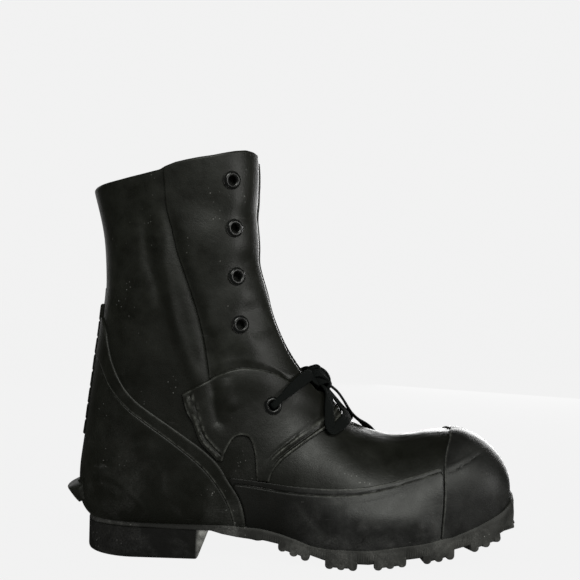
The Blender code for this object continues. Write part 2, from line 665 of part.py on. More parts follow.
def make_foxing(side, finish, home, cutters):
    """One side's band round the foot, from the counter's binding to the toe cap."""
    back = [point for point in above_sole(BINDING_FRONT) if point[1] < FOXING_TOP[0][1] - 1.0]
    front = [point for point in above_sole(CAP_EDGE) if point[1] < FOXING_TOP[-1][1] - 1.0]
    outline = (sole_line(back[-1][0] + GAP, front[-1][0] - GAP, GAP)
               + shifted(front, -GAP, 0.0)[::-1] + list(FOXING_TOP)[::-1]
               + shifted(back, GAP, 0.0))
    overlay("foxing_" + SIDES[side], outline, half_across(side), OVERLAY_GAP,
            OVERLAY_GAP + OVERLAY, finish, home, cutters)


def make_ankle_patch(side, finish, home, cutters):
    """The patch that carries the lowest eyelet, with a notch in its lower edge."""
    outline = (list(PATCH_TOP + PATCH_FRONT) + shifted(PATCH_FOOT, 0.0, GAP)
               + list(PATCH_NOTCH + PATCH_BACK))
    return overlay("ankle_patch_" + SIDES[side], outline, half_across(side), OVERLAY_GAP,
                   OVERLAY_GAP + PATCH, finish, home, cutters)


def make_eyelet_stay(side, finish, home, cutters):
    """The second layer down the front of the shaft, which carries the upper eyelets."""
    low = [point for point in shifted(PATCH_TOP, 0.0, 2.0 * GAP)
           if point[0] > STAY_BACK[-1][0] + 1.0]
    outline = (list(STAY_BACK)[::-1] + STAY_TOP + [(low[-1][0] + 20.0, 240.0)]
               + [(low[-1][0] + 20.0, low[-1][1])] + low[::-1])
    return overlay("eyelet_stay_" + SIDES[side], outline, half_across(side), OVERLAY_GAP,
                   OVERLAY_GAP + STAY, finish, home, cutters)


# ---------------------------------------------------------------- sole and heel
def sole_section(along, end=0.0):
    """One section of the outsole: its upper side and its underside, from the inner lip
    to the outer lip. At its ends the section is a line towards end (+1 toe, -1 heel)."""
    over, under = [], []
    for side in (1, -1):
        edge = sole_edge(along, side)
        places = [max(place, edge) for place in half_columns(along, side)[-SOLE_COLUMNS:]]
        half = [off_last(along, side * place, GAP) for place in places]
        normal = last_normal(along, side * edge)
        level = np.array([end, 0.0]) if end else normal[:2]
        level = level / np.linalg.norm(level)
        lip = half[0].copy()
        lip[:2] += level * (sole_size(half[0][0], 4) + TOE_LIP * max(end, 0.0))
        foot = lip.copy()
        foot[:2] -= level * SOLE_TAPER
        over += [lip] + half if side > 0 else (half[::-1] + [lip])
        under.append(np.array([foot[0], foot[1], sole_size(foot[0], 1)]))
    return over, under


def sole_ends():
    """The sections at which the sole's edge reaches the back line, at toe and heel."""
    def crossing(low, high):
        for _ in range(30):
            middle = 0.5 * (low + high)
            back_x, back_z = last_section(middle)[2:4]
            if back_z > sole_size(back_x, 3):
                low = middle
            else:
                high = middle
        return high

    return crossing(0.5, 4.0), crossing(20.0, 16.0)


def sole_rows():
    toe, heel = sole_ends()
    near_toe = [toe + step for step in (0.05, 0.18, 0.4, 0.7)]
    near_heel = [heel - step for step in (0.5, 0.22, 0.06)]
    rows = [row for row in last_rows() if near_toe[-1] + 0.2 < row < near_heel[0] - 0.2]
    return [toe] + near_toe + rows + near_heel + [heel]


def make_outsole(finish, home, cutters):
    """Forefoot, waist and heel seat in one, cupped to the last, with lugs in threes.

    The middle lugs run into the edge lugs, and the exact solver leaves them all loose."""
    rows = sole_rows()
    points, faces = [], []
    for index, along in enumerate(rows):
        end = 1.0 if index == 0 else -1.0 if index == len(rows) - 1 else 0.0
        over, under = sole_section(along, end)
        points += over + under[::-1]
    ring = len(points) // len(rows)
    for row in range(len(rows) - 1):
        for column in range(ring):
            low, high = row * ring, (row + 1) * ring
            following = (column + 1) % ring
            faces.append([low + column, low + following, high + following, high + column])
    points, faces = weld(points, faces)
    outsole = add_object("outsole", points, faces, finish, home)
    lugs = [lug for side in (1, -1) for lug in edge_lugs(side)] + middle_lugs()
    lug_points, lug_faces = [], []
    for lug in lugs:
        lug_faces += [[index + len(lug_points) for index in face] for face in lug[1]]
        lug_points += lug[0]
    cutter = add_object("outsole_lugs", lug_points, lug_faces, finish, cutters)
    cut(outsole, cutter, "UNION", "MANIFOLD")


def weld(points, faces):
    """Joins points that coincide and drops what that leaves of flat faces."""
    numbers, kept, moved = {}, [], []
    for point in points:
        key = tuple(np.round(point, 4))
        if key not in numbers:
            numbers[key] = len(kept)
            kept.append(point)
        moved.append(numbers[key])
    made = []
    for face in faces:
        face = [moved[index] for index in face]
        face = [spot for spot, other in zip(face, face[1:] + face[:1]) if spot != other]
        if len(set(face)) >= 3 and len(set(face)) == len(face):
            made.append(face)
    return kept, made


def bar_lug(place, heading, length, width):
    """A lug from its outer end inward, its underside on the sole's ground line."""
    along = np.array([math.cos(heading), math.sin(heading)])
    beside = np.array([-along[1], along[0]])
    outline = [(0.0, -0.5), (1.0, -0.5), (1.0, 0.5), (0.0, 0.5)]
    corners = [np.array(place) + along * length * far + beside * width * out
               for far, out in outline]
    top = [(x, y, sole_size(x, 1) + LUG_ROOT) for x, y in corners]
    foot = [(x, y, sole_size(x, 2)) for x, y in corners]
    count = len(corners)
    faces = [list(range(count)), list(range(2 * count - 1, count - 1, -1))]
    faces += [[index, (index + 1) % count, (index + 1) % count + count, index + count]
              for index in range(count)]
    return top + foot, faces


def edge_lugs(side):
    """Lugs in groups of three along one edge, from the toe's tip to the waist."""
    rim = []
    for index, along in enumerate(sole_rows()):
        over, _ = sole_section(along, 1.0 if index == 0 else 0.0)
        rim.append(over[0] if side > 0 else over[-1])
    rim = [point[:2] for point in rim if point[0] > LUGS_FROM]
    steps = np.linalg.norm(np.diff(rim, axis=0), axis=1)
    distance = np.concatenate([[0.0], np.cumsum(steps)])
    lugs = []
    group = 0.5 * (LUG_GROUP - 2.0 * LUG_PITCH)
    while group + 2.0 * LUG_PITCH < distance[-1]:
        for step in range(3):
            place = group + step * LUG_PITCH
            x, y, ahead_x, ahead_y = (
                np.interp(spot, distance, [point[axis] for point in rim])
                for spot in (place, place + 1.0) for axis in (0, 1))
            heading = math.atan2(ahead_y - y, ahead_x - x) - side * math.pi / 2.0
            start = np.array([x, y]) - LUG_PROUD * np.array(
                [math.cos(heading), math.sin(heading)])
            lugs.append(bar_lug(start, heading, LUG_LENGTH, LUG_WIDTH))
        group += LUG_GROUP
    return lugs


def middle_lugs():
    """Slanted bars down the middle of the forefoot."""
    lugs = []
    for x in MIDDLE_LUG_PLACES:
        for side in (1, -1):
            lugs.append(bar_lug((x, MIDDLE_LUG_STARTS[side]),
                                side * math.radians(MIDDLE_LUG_SLANT),
                                MIDDLE_LUG_LENGTH, LUG_WIDTH))
    return lugs


def heel_outline(grow, breast):
    """The D of the heel seen from below."""
    radius = HEEL_HALF_WIDTH + grow
    middle = HEEL_BACK + HEEL_HALF_WIDTH
    arc = [math.pi / 2.0 + math.pi * step / HEEL_STEPS for step in range(HEEL_STEPS + 1)]
    rim = [(middle + radius * math.cos(turn), radius * math.sin(turn)) for turn in arc]
    return [(breast, radius)] + rim + [(breast, -radius)]


def make_heel_block(finish, home):
    """The D-shaped heel, a little wider at the top, with a raked breast."""
    low = heel_outline(0.0, HEEL_BREAST)
    high = heel_outline(HEEL_FLARE, HEEL_BREAST + HEEL_BREAST_RAKE)
    count = len(low)
    points = [(x, y, 0.0) for x, y in low] + [(x, y, HEEL_HEIGHT) for x, y in high]
    faces = [list(range(count)), list(range(2 * count - 1, count - 1, -1))]
    faces += [[index, (index + 1) % count, (index + 1) % count + count, index + count]
              for index in range(count)]
    add_object("heel_block", points, faces, finish, home)


def make_heel_ledge(finish, home):
    """The wedge behind the heel that takes a ski binding."""
    def behind_heel(along):
        _, distance, _ = half_section(along, 1)
        length = distance[-1] * (1.0 - throat_share(along, distance[-1]))
        half = [2.0 - reach / length for reach in LEDGE_REACH]
        return half + [2.0] + [-place for place in half[::-1]]

    def outside(along, around):
        _, distance, _ = half_section(along, 1 if around > 0 else -1)
        reach = (2.0 - abs(around)) * distance[-1]
        point = off_last(along, around, LEDGE_SEAT)
        full = np.interp(point[2], LEDGE_PROFILE[0], LEDGE_PROFILE[1])
        side = np.interp(reach, (LEDGE_REACH[1], LEDGE_REACH[0]), (1.0, LEDGE_ENDS))
        normal = last_normal(along, around) * (1.0, 1.0, 0.0)
        return point + full * side * normal / np.linalg.norm(normal)

    solid = thicken(sheet(LEDGE_ROWS, behind_heel), outside,
                    lambda along, around: off_last(along, around, LEDGE_SEAT))
    add_object("heel_ledge", *solid, finish, home)


# ---------------------------------------------------------------- eyelets
def eyelet_frame(number, side):
    """An eyelet's centre on the last's surface, and the outward direction there."""
    along, around = locate(*EYELETS[number], side)
    return Vector(last_point(along, around)), Vector(last_normal(along, around))


def make_eyelets(finish, home, cutters, pieces):
    """Ten turned rings, each through a hole in the flap and its overlay."""
    for side in (1, -1):
        for number in range(len(EYELETS)):
            centre, outward = eyelet_frame(number, side)
            is_patch = number == len(EYELETS) - 1
            cover = OVERLAY_GAP + (PATCH if is_patch else STAY) + GAP
            turn = outward.to_track_quat("Z", "Y").to_euler()
            mesh = bpy.data.meshes.new("eyelet_profile")
            profile = [(radius * MM, 0.0, (height + cover if height >= 0.0 else height) * MM)
                       for radius, height in EYELET_PROFILE]
            count = len(profile)
            mesh.from_pydata(profile, [(index, (index + 1) % count)
                                       for index in range(count)], [])
            mesh.materials.append(finish)
            name = "eyelet_%s_%d" % (SIDES[side], number + 1)
            ring = bpy.data.objects.new(name, mesh)
            ring.location = centre * MM
            ring.rotation_euler = turn
            home.objects.link(ring)
            screw = ring.modifiers.new("turned", "SCREW")
            screw.steps = EYELET_STEPS
            screw.render_steps = EYELET_STEPS
            screw.use_merge_vertices = True
            screw.merge_threshold = 0.00001
            bpy.ops.mesh.primitive_cylinder_add(
                vertices=EYELET_STEPS, radius=EYELET_HOLE * MM, depth=EYELET_HOLE_DEPTH * MM,
                location=centre * MM, rotation=turn)
            hole = bpy.context.object
            hole.name = name + "_hole"
            move_to(hole, cutters)
            cut(pieces["upper"], hole, "DIFFERENCE")
            cut(pieces["patch" if is_patch else "stay"][side], hole, "DIFFERENCE")


# ---------------------------------------------------------------- laces
def smooth_route(points, steps):
    """Points along a smooth curve through a route's own points."""
    made = [curve_through(points, index, step / steps)
            for index in range(len(points) - 1) for step in range(steps)]
    return made + [points[-1]]


def cord(name, points, finish, home):
    """A round tube along a route, closed by flat caps."""
    curve = bpy.data.curves.new(name, "CURVE")
    curve.dimensions = "3D"
    curve.bevel_depth = LACE_RADIUS * MM
    curve.bevel_resolution = 2
    curve.use_fill_caps = True
    spline = curve.splines.new("POLY")
    spline.points.add(len(points) - 1)
    for place, point in zip(spline.points, points):
        place.co = (*(Vector(point) * MM), 1.0)
    curve.materials.append(finish)
    home.objects.link(bpy.data.objects.new(name, curve))


def make_laces(finish, home):
    """The lace through the lowest pair of eyelets, its knot, loops and ends."""
    halves = []
    for side in (1, -1):
        along, around = locate(*EYELETS[-1], side)
        half = [off_last(row, side * place, offset) for row, place, offset in LACE_TO_EYELET]
        half += [off_last(along, around, offset) for offset in LACE_IN_EYELET]
        half += [off_last(row, side * place, offset) for row, place, offset in LACE_BEHIND]
        halves.append(half)
    route = halves[0] + [off_last(*LACE_MIDDLE)] + halves[1][::-1]
    cord("lace_run", route, finish, home)
    for name, places in LACE_ENDS.items():
        cord(name, smooth_route([off_last(*place) for place in places], 2), finish, home)

    outward = Vector(last_normal(*KNOT[:2]))
    bpy.ops.mesh.primitive_uv_sphere_add(
        segments=10, ring_count=6, radius=MM, scale=KNOT_RADII,
        location=Vector(off_last(*KNOT)) * MM,
        rotation=outward.to_track_quat("Z", "Y").to_euler())
    knot = bpy.context.object
    knot.name = "lace_knot"
    knot.data.materials.append(finish)
    move_to(knot, home)


def build():
    clear_scene()
    boot = collection("extreme_cold_weather_boot")
    cutters = collection("cutters")
    rubber = material("black_rubber", (0.012, 0.013, 0.013), 0.45)
    foxing = material("foxing_rubber", (0.020, 0.021, 0.020), 0.50)
    sole = material("sole_rubber", (0.028, 0.028, 0.027), 0.65)
    felt = material("insole_felt", (0.05, 0.05, 0.045), 0.95)
    enamel = material("black_enamel", (0.010, 0.010, 0.010), 0.25)
    braid = material("black_braid", (0.010, 0.011, 0.011), 0.90)

    upper = make_upper(rubber, boot)
    make_insole(felt, boot)
    make_tongue(rubber, boot)
    make_outsole(sole, boot, cutters)
    make_heel_block(sole, boot)
    make_heel_counter(rubber, boot, cutters)
    make_back_strip(rubber, boot, cutters)
    make_heel_ledge(rubber, boot)
    make_toe_cap(rubber, boot, cutters)
    stays, patches = {}, {}
    for side in SIDES:
        make_foxing(side, foxing, boot, cutters)
        patches[side] = make_ankle_patch(side, rubber, boot, cutters)
        stays[side] = make_eyelet_stay(side, rubber, boot, cutters)
    make_eyelets(enamel, boot, cutters, {"upper": upper, "stay": stays, "patch": patches})
    make_laces(braid, boot)
    for item in bpy.data.objects:
        item.location += Vector(TO_CENTRE) * MM


build()
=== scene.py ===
import math

import bpy
import numpy as np
from mathutils import Matrix, Vector


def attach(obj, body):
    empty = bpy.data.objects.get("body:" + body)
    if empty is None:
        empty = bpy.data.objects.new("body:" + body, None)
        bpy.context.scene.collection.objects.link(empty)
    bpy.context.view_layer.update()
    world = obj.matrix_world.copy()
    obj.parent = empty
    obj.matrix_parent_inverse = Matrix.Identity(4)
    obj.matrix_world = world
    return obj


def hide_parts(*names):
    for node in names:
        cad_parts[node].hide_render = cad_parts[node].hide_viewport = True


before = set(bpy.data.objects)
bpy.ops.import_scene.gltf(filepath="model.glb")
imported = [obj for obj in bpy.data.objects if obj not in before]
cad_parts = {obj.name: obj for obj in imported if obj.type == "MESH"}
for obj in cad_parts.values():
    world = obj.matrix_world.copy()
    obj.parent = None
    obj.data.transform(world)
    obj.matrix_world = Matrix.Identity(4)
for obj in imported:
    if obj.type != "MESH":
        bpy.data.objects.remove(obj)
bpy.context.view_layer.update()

bpy.ops.object.select_all(action="DESELECT")

# ---------------------------------------------------------------- the stand and its lights
# The boot stands on a pale sweep that is curved up all round, and is seen level from its
# inner side. Its main light stands low, by the viewer on the toe's side.
bpy.ops.object.camera_add(location=(-0.0051, -0.7527, 0.1956),
                          rotation=(math.radians(90.0), math.radians(-1.9), 0.0))
camera = bpy.context.object
camera.data.lens = 61.4
camera.data.sensor_width = 36.0
bpy.context.scene.camera = camera
bpy.context.scene.view_settings.view_transform = "Standard"


def soft_light(name, location, aim, width, height, power, tint=(1.0, 1.0, 1.0)):
    """A rectangular softbox turned to face a point on the boot."""
    turn = (Vector(aim) - Vector(location)).to_track_quat("-Z", "Y").to_euler()
    bpy.ops.object.light_add(type="AREA", location=location, rotation=turn)
    lamp = bpy.context.object
    lamp.name = name
    lamp.data.shape = "RECTANGLE"
    lamp.data.size, lamp.data.size_y = width, height
    lamp.data.energy = power
    lamp.data.color = tint


soft_light("main_softbox", (1.12, -0.60, 0.34), (0.0, 0.0, 0.12), 0.50, 0.50, 5.2,
           (1.0, 1.0, 0.97))
soft_light("upper_softbox", (0.24, -0.95, 0.86), (0.02, 0.0, 0.10), 0.55, 0.45, 8.8,
           (0.98, 1.0, 0.94))
soft_light("far_side_softbox", (0.50, 1.20, 0.26), (0.0, 0.0, 0.13), 0.7, 0.6, 14.0)
soft_light("heel_softbox", (-0.70, 1.0, 0.40), (0.0, 0.0, 0.13), 0.6, 0.5, 0.8)

world = bpy.data.worlds.new("studio_air")
world.use_nodes = True
world_air = world.node_tree.nodes["Background"]
world_air.inputs["Color"].default_value = (1.0, 1.0, 0.9, 1.0)
world_air.inputs["Strength"].default_value = 0.03
bpy.context.scene.world = world


def pick(kind, items, chosen):
    """Opens the active mesh in edit mode with only its chosen edges or faces selected."""
    bpy.ops.object.mode_set(mode="EDIT")
    bpy.ops.mesh.select_mode(type=kind)
    bpy.ops.mesh.select_all(action="DESELECT")
    bpy.ops.object.mode_set(mode="OBJECT")
    for item in items:
        item.select = bool(chosen(item))
    bpy.ops.object.mode_set(mode="EDIT")


def new_material(name):
    """A new material, its nodes and its shader."""
    made = bpy.data.materials.new(name)
    made.use_nodes = True
    return made, made.node_tree, made.node_tree.nodes["Principled BSDF"]


def feed(tree, step, sockets):
    """Gives each socket of a node its own value, or links it to another node's output."""
    for socket, source in sockets.items():
        if isinstance(source, (float, tuple)):
            step.inputs[socket].default_value = source
        else:
            tree.links.new(source, step.inputs[socket])


bpy.ops.mesh.primitive_circle_add(vertices=96, radius=2.4, fill_type="NGON",
                                  location=(0.0, 0.0, 0.0))
backdrop = bpy.context.object
backdrop.name = "pale_sweep"
bpy.ops.object.mode_set(mode="EDIT")
bpy.ops.mesh.select_mode(type="EDGE")
bpy.ops.mesh.select_all(action="SELECT")
bpy.ops.mesh.region_to_loop()
bpy.ops.mesh.extrude_edges_move(TRANSFORM_OT_translate={"value": (0.0, 0.0, 3.0)})
bpy.ops.mesh.select_all(action="SELECT")
bpy.ops.mesh.normals_make_consistent(inside=True)
pick("EDGE", backdrop.data.edges,
     lambda edge: all(backdrop.data.vertices[i].co.z < 0.1 for i in edge.vertices))
bpy.ops.mesh.bevel(offset=0.6, segments=12)
bpy.ops.object.mode_set(mode="OBJECT")
bpy.ops.object.shade_smooth()
backdrop.visible_glossy = backdrop.visible_shadow = False
paper, paper_tree, paper_shader = new_material("pale_paper")
feed(paper_tree, paper_shader, {
    "Base Color": (0.01, 0.01, 0.01, 1.0), "Roughness": 0.9, "Specular IOR Level": 0.0,
    "Emission Color": (1.0, 1.0, 1.0, 1.0), "Emission Strength": 0.878})
backdrop.data.materials.append(paper)
bpy.ops.object.select_all(action="DESELECT")

# ---------------------------------------------------------------- upper
# Foot and shaft in one: two skins of black rubber with insulation sealed between them,
# cured together over a last. The wall thins to one ply at the lacing flaps.
MM = 0.001
TO_CENTRE = np.array((1.9, -2.7, 0.0))      # from the last's own zero to the boot's
COLLAR, THROAT = 28.0, 13.0                 # the sections where they lie
WALL, WALL_THIN, WALL_COLLAR, WALL_SLOPE = 8.0, 3.0, 5.0, 12.0
FLAP = ((17.0, 20.0), (44.0, 28.0))         # section, width of the thin flap there
FLAP_AHEAD = 14.0                           # its width ahead of the throat
LAST = np.array((
    # front_x front_z  back_x back_z inner outer ridge  wide front_sq back_sq
    (158.6,  56.0,   158.6,  56.0,  6.0, -6.0, -6.0, 0.50, 2.2, 2.2),    # tip
    (157.2,  65.0,   157.2,  44.0, 23.0, 11.0, -6.0, 0.50, 2.2, 2.3),    # nose
    (153.2,  74.0,   154.0,  34.5, 35.0, 23.5, -6.0, 0.52, 2.2, 3.2),    # face
    (146.2,  82.5,   147.5,  28.5, 42.5, 33.5, -5.0, 0.55, 2.2, 4.2),    # brow
    (136.0,  89.5,   138.5,  24.4, 47.5, 41.5, -4.0, 0.58, 2.2, 5.0),    # crown
    (121.0,  94.4,   125.0,  20.6, 51.5, 49.0, -2.0, 0.62, 2.1, 5.6),    # cap
    (104.0,  93.0,   109.0,  17.2, 54.5, 55.0,  0.0, 0.65, 2.0, 6.0),    # box
    (88.0,  90.0,    92.0,  14.4, 56.5, 59.5,  1.0, 0.67, 1.9, 6.0),     # vamp
    (74.0,  88.6,    74.0,  11.8, 57.5, 62.0,  2.0, 0.68, 1.8, 6.0),     # break
    (60.5,  90.8,    55.0,  10.0, 57.5, 63.0,  2.0, 0.69, 1.8, 6.0),     # ball
    (49.0,  94.6,    34.0,   9.8, 56.0, 62.0,  2.0, 0.69, 1.8, 6.0),     # joint
    (40.0,  99.5,    11.0,  12.0, 53.0, 59.0,  2.0, 0.68, 1.9, 6.0),     # waist
    (32.5, 106.0,   -12.0,  17.4, 49.5, 55.0,  1.0, 0.66, 1.9, 6.5),     # arch
    (26.0, 112.5,   -36.0,  21.4, 47.0, 51.5,  1.0, 0.64, 2.0, 7.0),     # throat
    (19.5, 119.5,   -61.0,  23.3, 45.0, 49.0,  0.0, 0.62, 2.1, 8.0),     # instep
    (13.0, 127.0,   -87.0,  23.4, 44.0, 47.0,  0.0, 0.60, 2.2, 8.0),     # seat
    (6.5, 135.5,   -112.0,  23.4, 43.5, 45.5,  0.0, 0.58, 2.3, 7.0),
    (0.0, 144.5,   -134.0,  23.4, 43.5, 45.0,  0.0, 0.56, 2.4, 5.0),
    (-6.5, 154.5,   -149.5,  25.4, 44.0, 45.0,  0.0, 0.55, 2.5, 3.2),    # corner
    (-12.5, 166.0,  -157.6,  36.0, 44.5, 45.0,  0.0, 0.55, 2.6, 2.6),    # heel
    (-18.0, 179.0,  -159.0,  56.0, 45.0, 45.0,  0.0, 0.54, 2.7, 2.4),    # bulge
    (-22.5, 193.0,  -157.2,  77.0, 45.5, 45.5,  0.0, 0.53, 2.8, 2.3),    # counter
    (-26.5, 207.5,  -154.0,  99.0, 46.0, 46.0,  0.0, 0.52, 2.8, 2.3),    # tendon
    (-29.5, 222.5,  -151.0, 122.0, 46.5, 46.5,  0.0, 0.51, 2.8, 2.3),
    (-31.3, 238.0,  -149.3, 146.0, 47.0, 47.0,  0.0, 0.50, 2.8, 2.3),    # shaft
    (-32.0, 252.0,  -147.0, 170.0, 47.5, 47.5,  0.0, 0.50, 2.8, 2.3),
    (-32.0, 265.0,  -144.8, 195.0, 48.5, 48.5,  0.0, 0.50, 2.8, 2.3),
    (-32.2, 277.5,  -147.8, 228.0, 49.5, 49.5,  0.0, 0.50, 2.8, 2.3),
    (-32.3, 290.4,  -156.2, 262.5, 51.0, 51.0,  0.0, 0.50, 2.8, 2.3),    # collar
    (-32.5, 304.0,  -166.0, 298.0, 52.5, 52.5,  0.0, 0.50, 2.8, 2.3),
))
THROAT_WIDTH = np.array(
    # section, half width round the surface
    ((0.0, 12.0), (13.0, 12.0), (16.0, 16.0), (20.0, 19.0), (28.0, 23.0), (29.0, 23.5)))
SECTION_STEP, ROUND_STEP = 0.025, 0.005
FORM_SECTIONS = np.arange(0.0, 29.0 + 1e-6, SECTION_STEP)
FORM_ROUND = np.arange(-2.0, 2.0 + 1e-6, ROUND_STEP)
FRONT = len(FORM_ROUND) // 2    # the front line's column, with the back line at both ends


def smooth_between(points, index, part):
    """A part of the way from a point of a list to the next, by a smooth curve."""
    before, start, end, after = (
        points[np.clip(index + step, 0, len(points) - 1)] for step in (-1, 0, 1, 2))
    return 0.5 * (2.0 * start + (end - before) * part
                  + (2.0 * before - 5.0 * start + 4.0 * end - after) * part ** 2
                  + (3.0 * (start - end) + after - before) * part ** 3)


def section_sizes(along):
    """The last's sizes at section numbers."""
    last_row = len(LAST) - 1
    along = np.clip(np.atleast_1d(along), 0.0, float(last_row))
    index = np.minimum(along.astype(int), last_row - 1)
    return smooth_between(LAST, index, (along - index)[:, None])


def half_section(sizes, side):
    """Half a section: its points, their distance from the front line and their share
    of the way from the front line to the back line."""
    front_x, front_z, back_x, back_z, inner, outer, ridge, wide, front_sq, back_sq = sizes
    reach_out = inner + ridge if side > 0 else outer - ridge
    turn = np.linspace(0.0, math.pi / 2.0, 97)
    sine, cosine = np.clip(np.sin(turn), 0.0, 1.0), np.clip(np.cos(turn), 0.0, 1.0)
    down = np.concatenate([wide * (1.0 - cosine ** (2.0 / front_sq)),
                           (wide + (1.0 - wide) * sine ** (2.0 / back_sq))[1:]])
    out = reach_out * np.concatenate([sine ** (2.0 / front_sq),
                                      cosine[1:] ** (2.0 / back_sq)])
    points = np.stack([front_x + (back_x - front_x) * down, ridge - side * out,
                       front_z + (back_z - front_z) * down], axis=1)
    steps_mm = np.linalg.norm(np.diff(points, axis=0), axis=1)
    return points, np.concatenate([[0.0], np.cumsum(steps_mm)]), down


form = np.zeros((len(FORM_SECTIONS), len(FORM_ROUND), 3))
form_share = np.zeros(form.shape[:2])               # from the front line to the back line
form_length = np.zeros((len(FORM_SECTIONS), 2))     # of each half, outer then inner
throat_share = np.zeros((len(FORM_SECTIONS), 2))
places_round = np.linspace(0.0, 2.0, FRONT + 1)
for row, sizes in enumerate(section_sizes(FORM_SECTIONS)):
    half_width = np.interp(FORM_SECTIONS[row], THROAT_WIDTH[:, 0], THROAT_WIDTH[:, 1])
    for side in (1, -1):
        points, distance, down = half_section(sizes, side)
        edge = min(half_width / max(distance[-1], 1.0), 0.2)    # narrower near the tip
        share = np.where(places_round <= 1.0, places_round * edge,
                         edge + (places_round - 1.0) * (1.0 - edge)) * distance[-1]
        column = FRONT + side * np.arange(FRONT + 1)
        form_share[row, column] = np.interp(share, distance, down)
        form_length[row, (side + 1) // 2] = distance[-1]
        throat_share[row, (side + 1) // 2] = edge
        for axis in range(3):
            form[row, column, axis] = np.interp(share, distance, points[:, axis])
plain_form = form.copy()


def outward_of(net):
    """The outward direction at every place of the form."""
    lengthwise = np.gradient(net, axis=0)
    ring = net[:, :-1]
    crosswise = np.roll(ring, -1, axis=1) - np.roll(ring, 1, axis=1)
    crosswise = np.concatenate([crosswise, crosswise[:, :1]], axis=1)
    direction = np.cross(lengthwise, crosswise)
    size = np.linalg.norm(direction, axis=2, keepdims=True)
    direction = direction / np.maximum(size, 1e-9)
    direction[size[..., 0] < 1e-9] = (1.0, 0.0, 0.0)
    return direction


def sample(table, along, around):
    """A table of the form read between its places. Past 2 the places go on round the
    back line to the other side."""
    along, around = np.broadcast_arrays(np.asarray(along, float), np.asarray(around, float))
    around = np.where(around > 2.0, around - 4.0, np.where(around < -2.0, around + 4.0, around))
    row = np.clip(along / SECTION_STEP, 0.0, table.shape[0] - 1.001)
    column = np.clip((around + 2.0) / ROUND_STEP, 0.0, table.shape[1] - 1.001)
    low_row, low_column = row.astype(int), column.astype(int)
    down, beside = row - low_row, column - low_column
    if table.ndim == 3:
        down, beside = down[..., None], beside[..., None]
    return ((1.0 - down) * ((1.0 - beside) * table[low_row, low_column]
                            + beside * table[low_row, low_column + 1])
            + down * ((1.0 - beside) * table[low_row + 1, low_column]
                      + beside * table[low_row + 1, low_column + 1]))


def locate(outline, side):
    """The places on one side of the form that lie at the x and z of an outline."""
    x, z = np.array(outline, float).T

    def miss(along):
        """Above 0 on one side of a section's chord and below 0 on the other."""
        sizes = section_sizes(along)
        return ((x - sizes[:, 0]) * (sizes[:, 3] - sizes[:, 1])
                - (z - sizes[:, 1]) * (sizes[:, 2] - sizes[:, 0]))

    low, high = np.full(len(x), 0.3), np.full(len(x), 29.0)
    low_sign = miss(low) > 0.0
    for _ in range(32):
        middle = 0.5 * (low + high)
        same = (miss(middle) > 0.0) == low_sign
        low, high = np.where(same, middle, low), np.where(same, high, middle)
    along = 0.5 * (low + high)
    sizes = section_sizes(along)
    chord = sizes[:, 2:4] - sizes[:, 0:2]
    share = ((x - sizes[:, 0]) * chord[:, 0] + (z - sizes[:, 1]) * chord[:, 1])
    share = np.clip(share / (chord ** 2).sum(axis=1), 0.0, 1.0)
    around = []
    for spot, part in zip(along, share):
        shares = sample(form_share, np.full(FRONT + 1, spot), side * places_round)
        around.append(side * np.interp(part, shares, places_round))
    return np.stack([along, around], axis=1)


def side_length(along, half):
    """How far it is round half a section from the throat's edge to the back, in mm."""
    row = np.rint(np.asarray(along) / SECTION_STEP).astype(int)
    row = np.clip(row, 0, len(FORM_SECTIONS) - 1)
    return (1.0 - throat_share[row, half]) * form_length[row, half]


def from_throat(along, around):
    """How far round the surface a place lies from the throat's edge, in mm."""
    along, around = np.broadcast_arrays(along, around)
    return np.maximum(np.abs(around) - 1.0, 0.0) * side_length(
        along, (around >= 0.0).astype(int))


def hump(distance, middle, width):
    """A soft rise of 1 at its middle, that is down to a third at its width from there."""
    return np.exp(-((distance - middle) / width) ** 2)


# Soft folds and swells in the rubber, as side-view lines with their depth and width. The
# same folds lie on both sides, a little weaker on the outer one.
FOLDS = (
    # depth, width, line; a depth below 0 is a swell
    (2.1, 5.0, ((-114.7, 255.1), (-111.2, 230.1), (-108.1, 214.4), (-102.3, 198.8),
                (-99.0, 180.0))),
    (2.3, 4.4, ((-95.6, 256.0), (-94.0, 246.0), (-91.0, 234.0), (-87.3, 220.3),
                (-81.5, 204.7), (-72.9, 181.2), (-66.9, 160.4), (-61.5, 132.8),
                (-58.6, 118.0))),
    (-1.6, 4.2, ((-99.0, 222.0), (-95.9, 207.0), (-91.7, 187.4), (-86.8, 167.7),
                 (-77.2, 141.7), (-70.6, 129.9), (-66.5, 117.0))),
    (0.9, 3.4, ((-64.0, 168.0), (-59.7, 151.4), (-56.5, 133.1), (-54.0, 124.0))),
    (1.8, 4.2, ((-59.6, 129.9), (-59.1, 113.6), (-55.7, 100.6), (-48.5, 96.8))),
    (-1.1, 4.5, ((-52.0, 131.0), (-50.0, 117.0), (-45.0, 108.0))),
    (0.5, 5.5, ((-2.0, 114.4), (9.5, 108.7), (19.1, 103.4), (25.0, 101.0))),
    (0.6, 5.0, ((-36.0, 162.0), (-27.0, 166.0), (-19.0, 169.0))),
    (-0.8, 1.1, ((-131.3, 58.3), (-121.8, 52.2), (-112.9, 43.9), (-104.7, 34.1))),
    (0.5, 6.0, ((-128.0, 68.0), (-112.0, 58.0), (-98.0, 44.0))),
    (-0.55, 0.9, ((107.0, 70.6), (117.8, 74.7), (129.1, 80.8), (137.7, 84.7))),
    (0.45, 1.0, ((107.0, 68.8), (117.8, 72.7), (129.1, 78.8), (137.7, 82.7))),
)
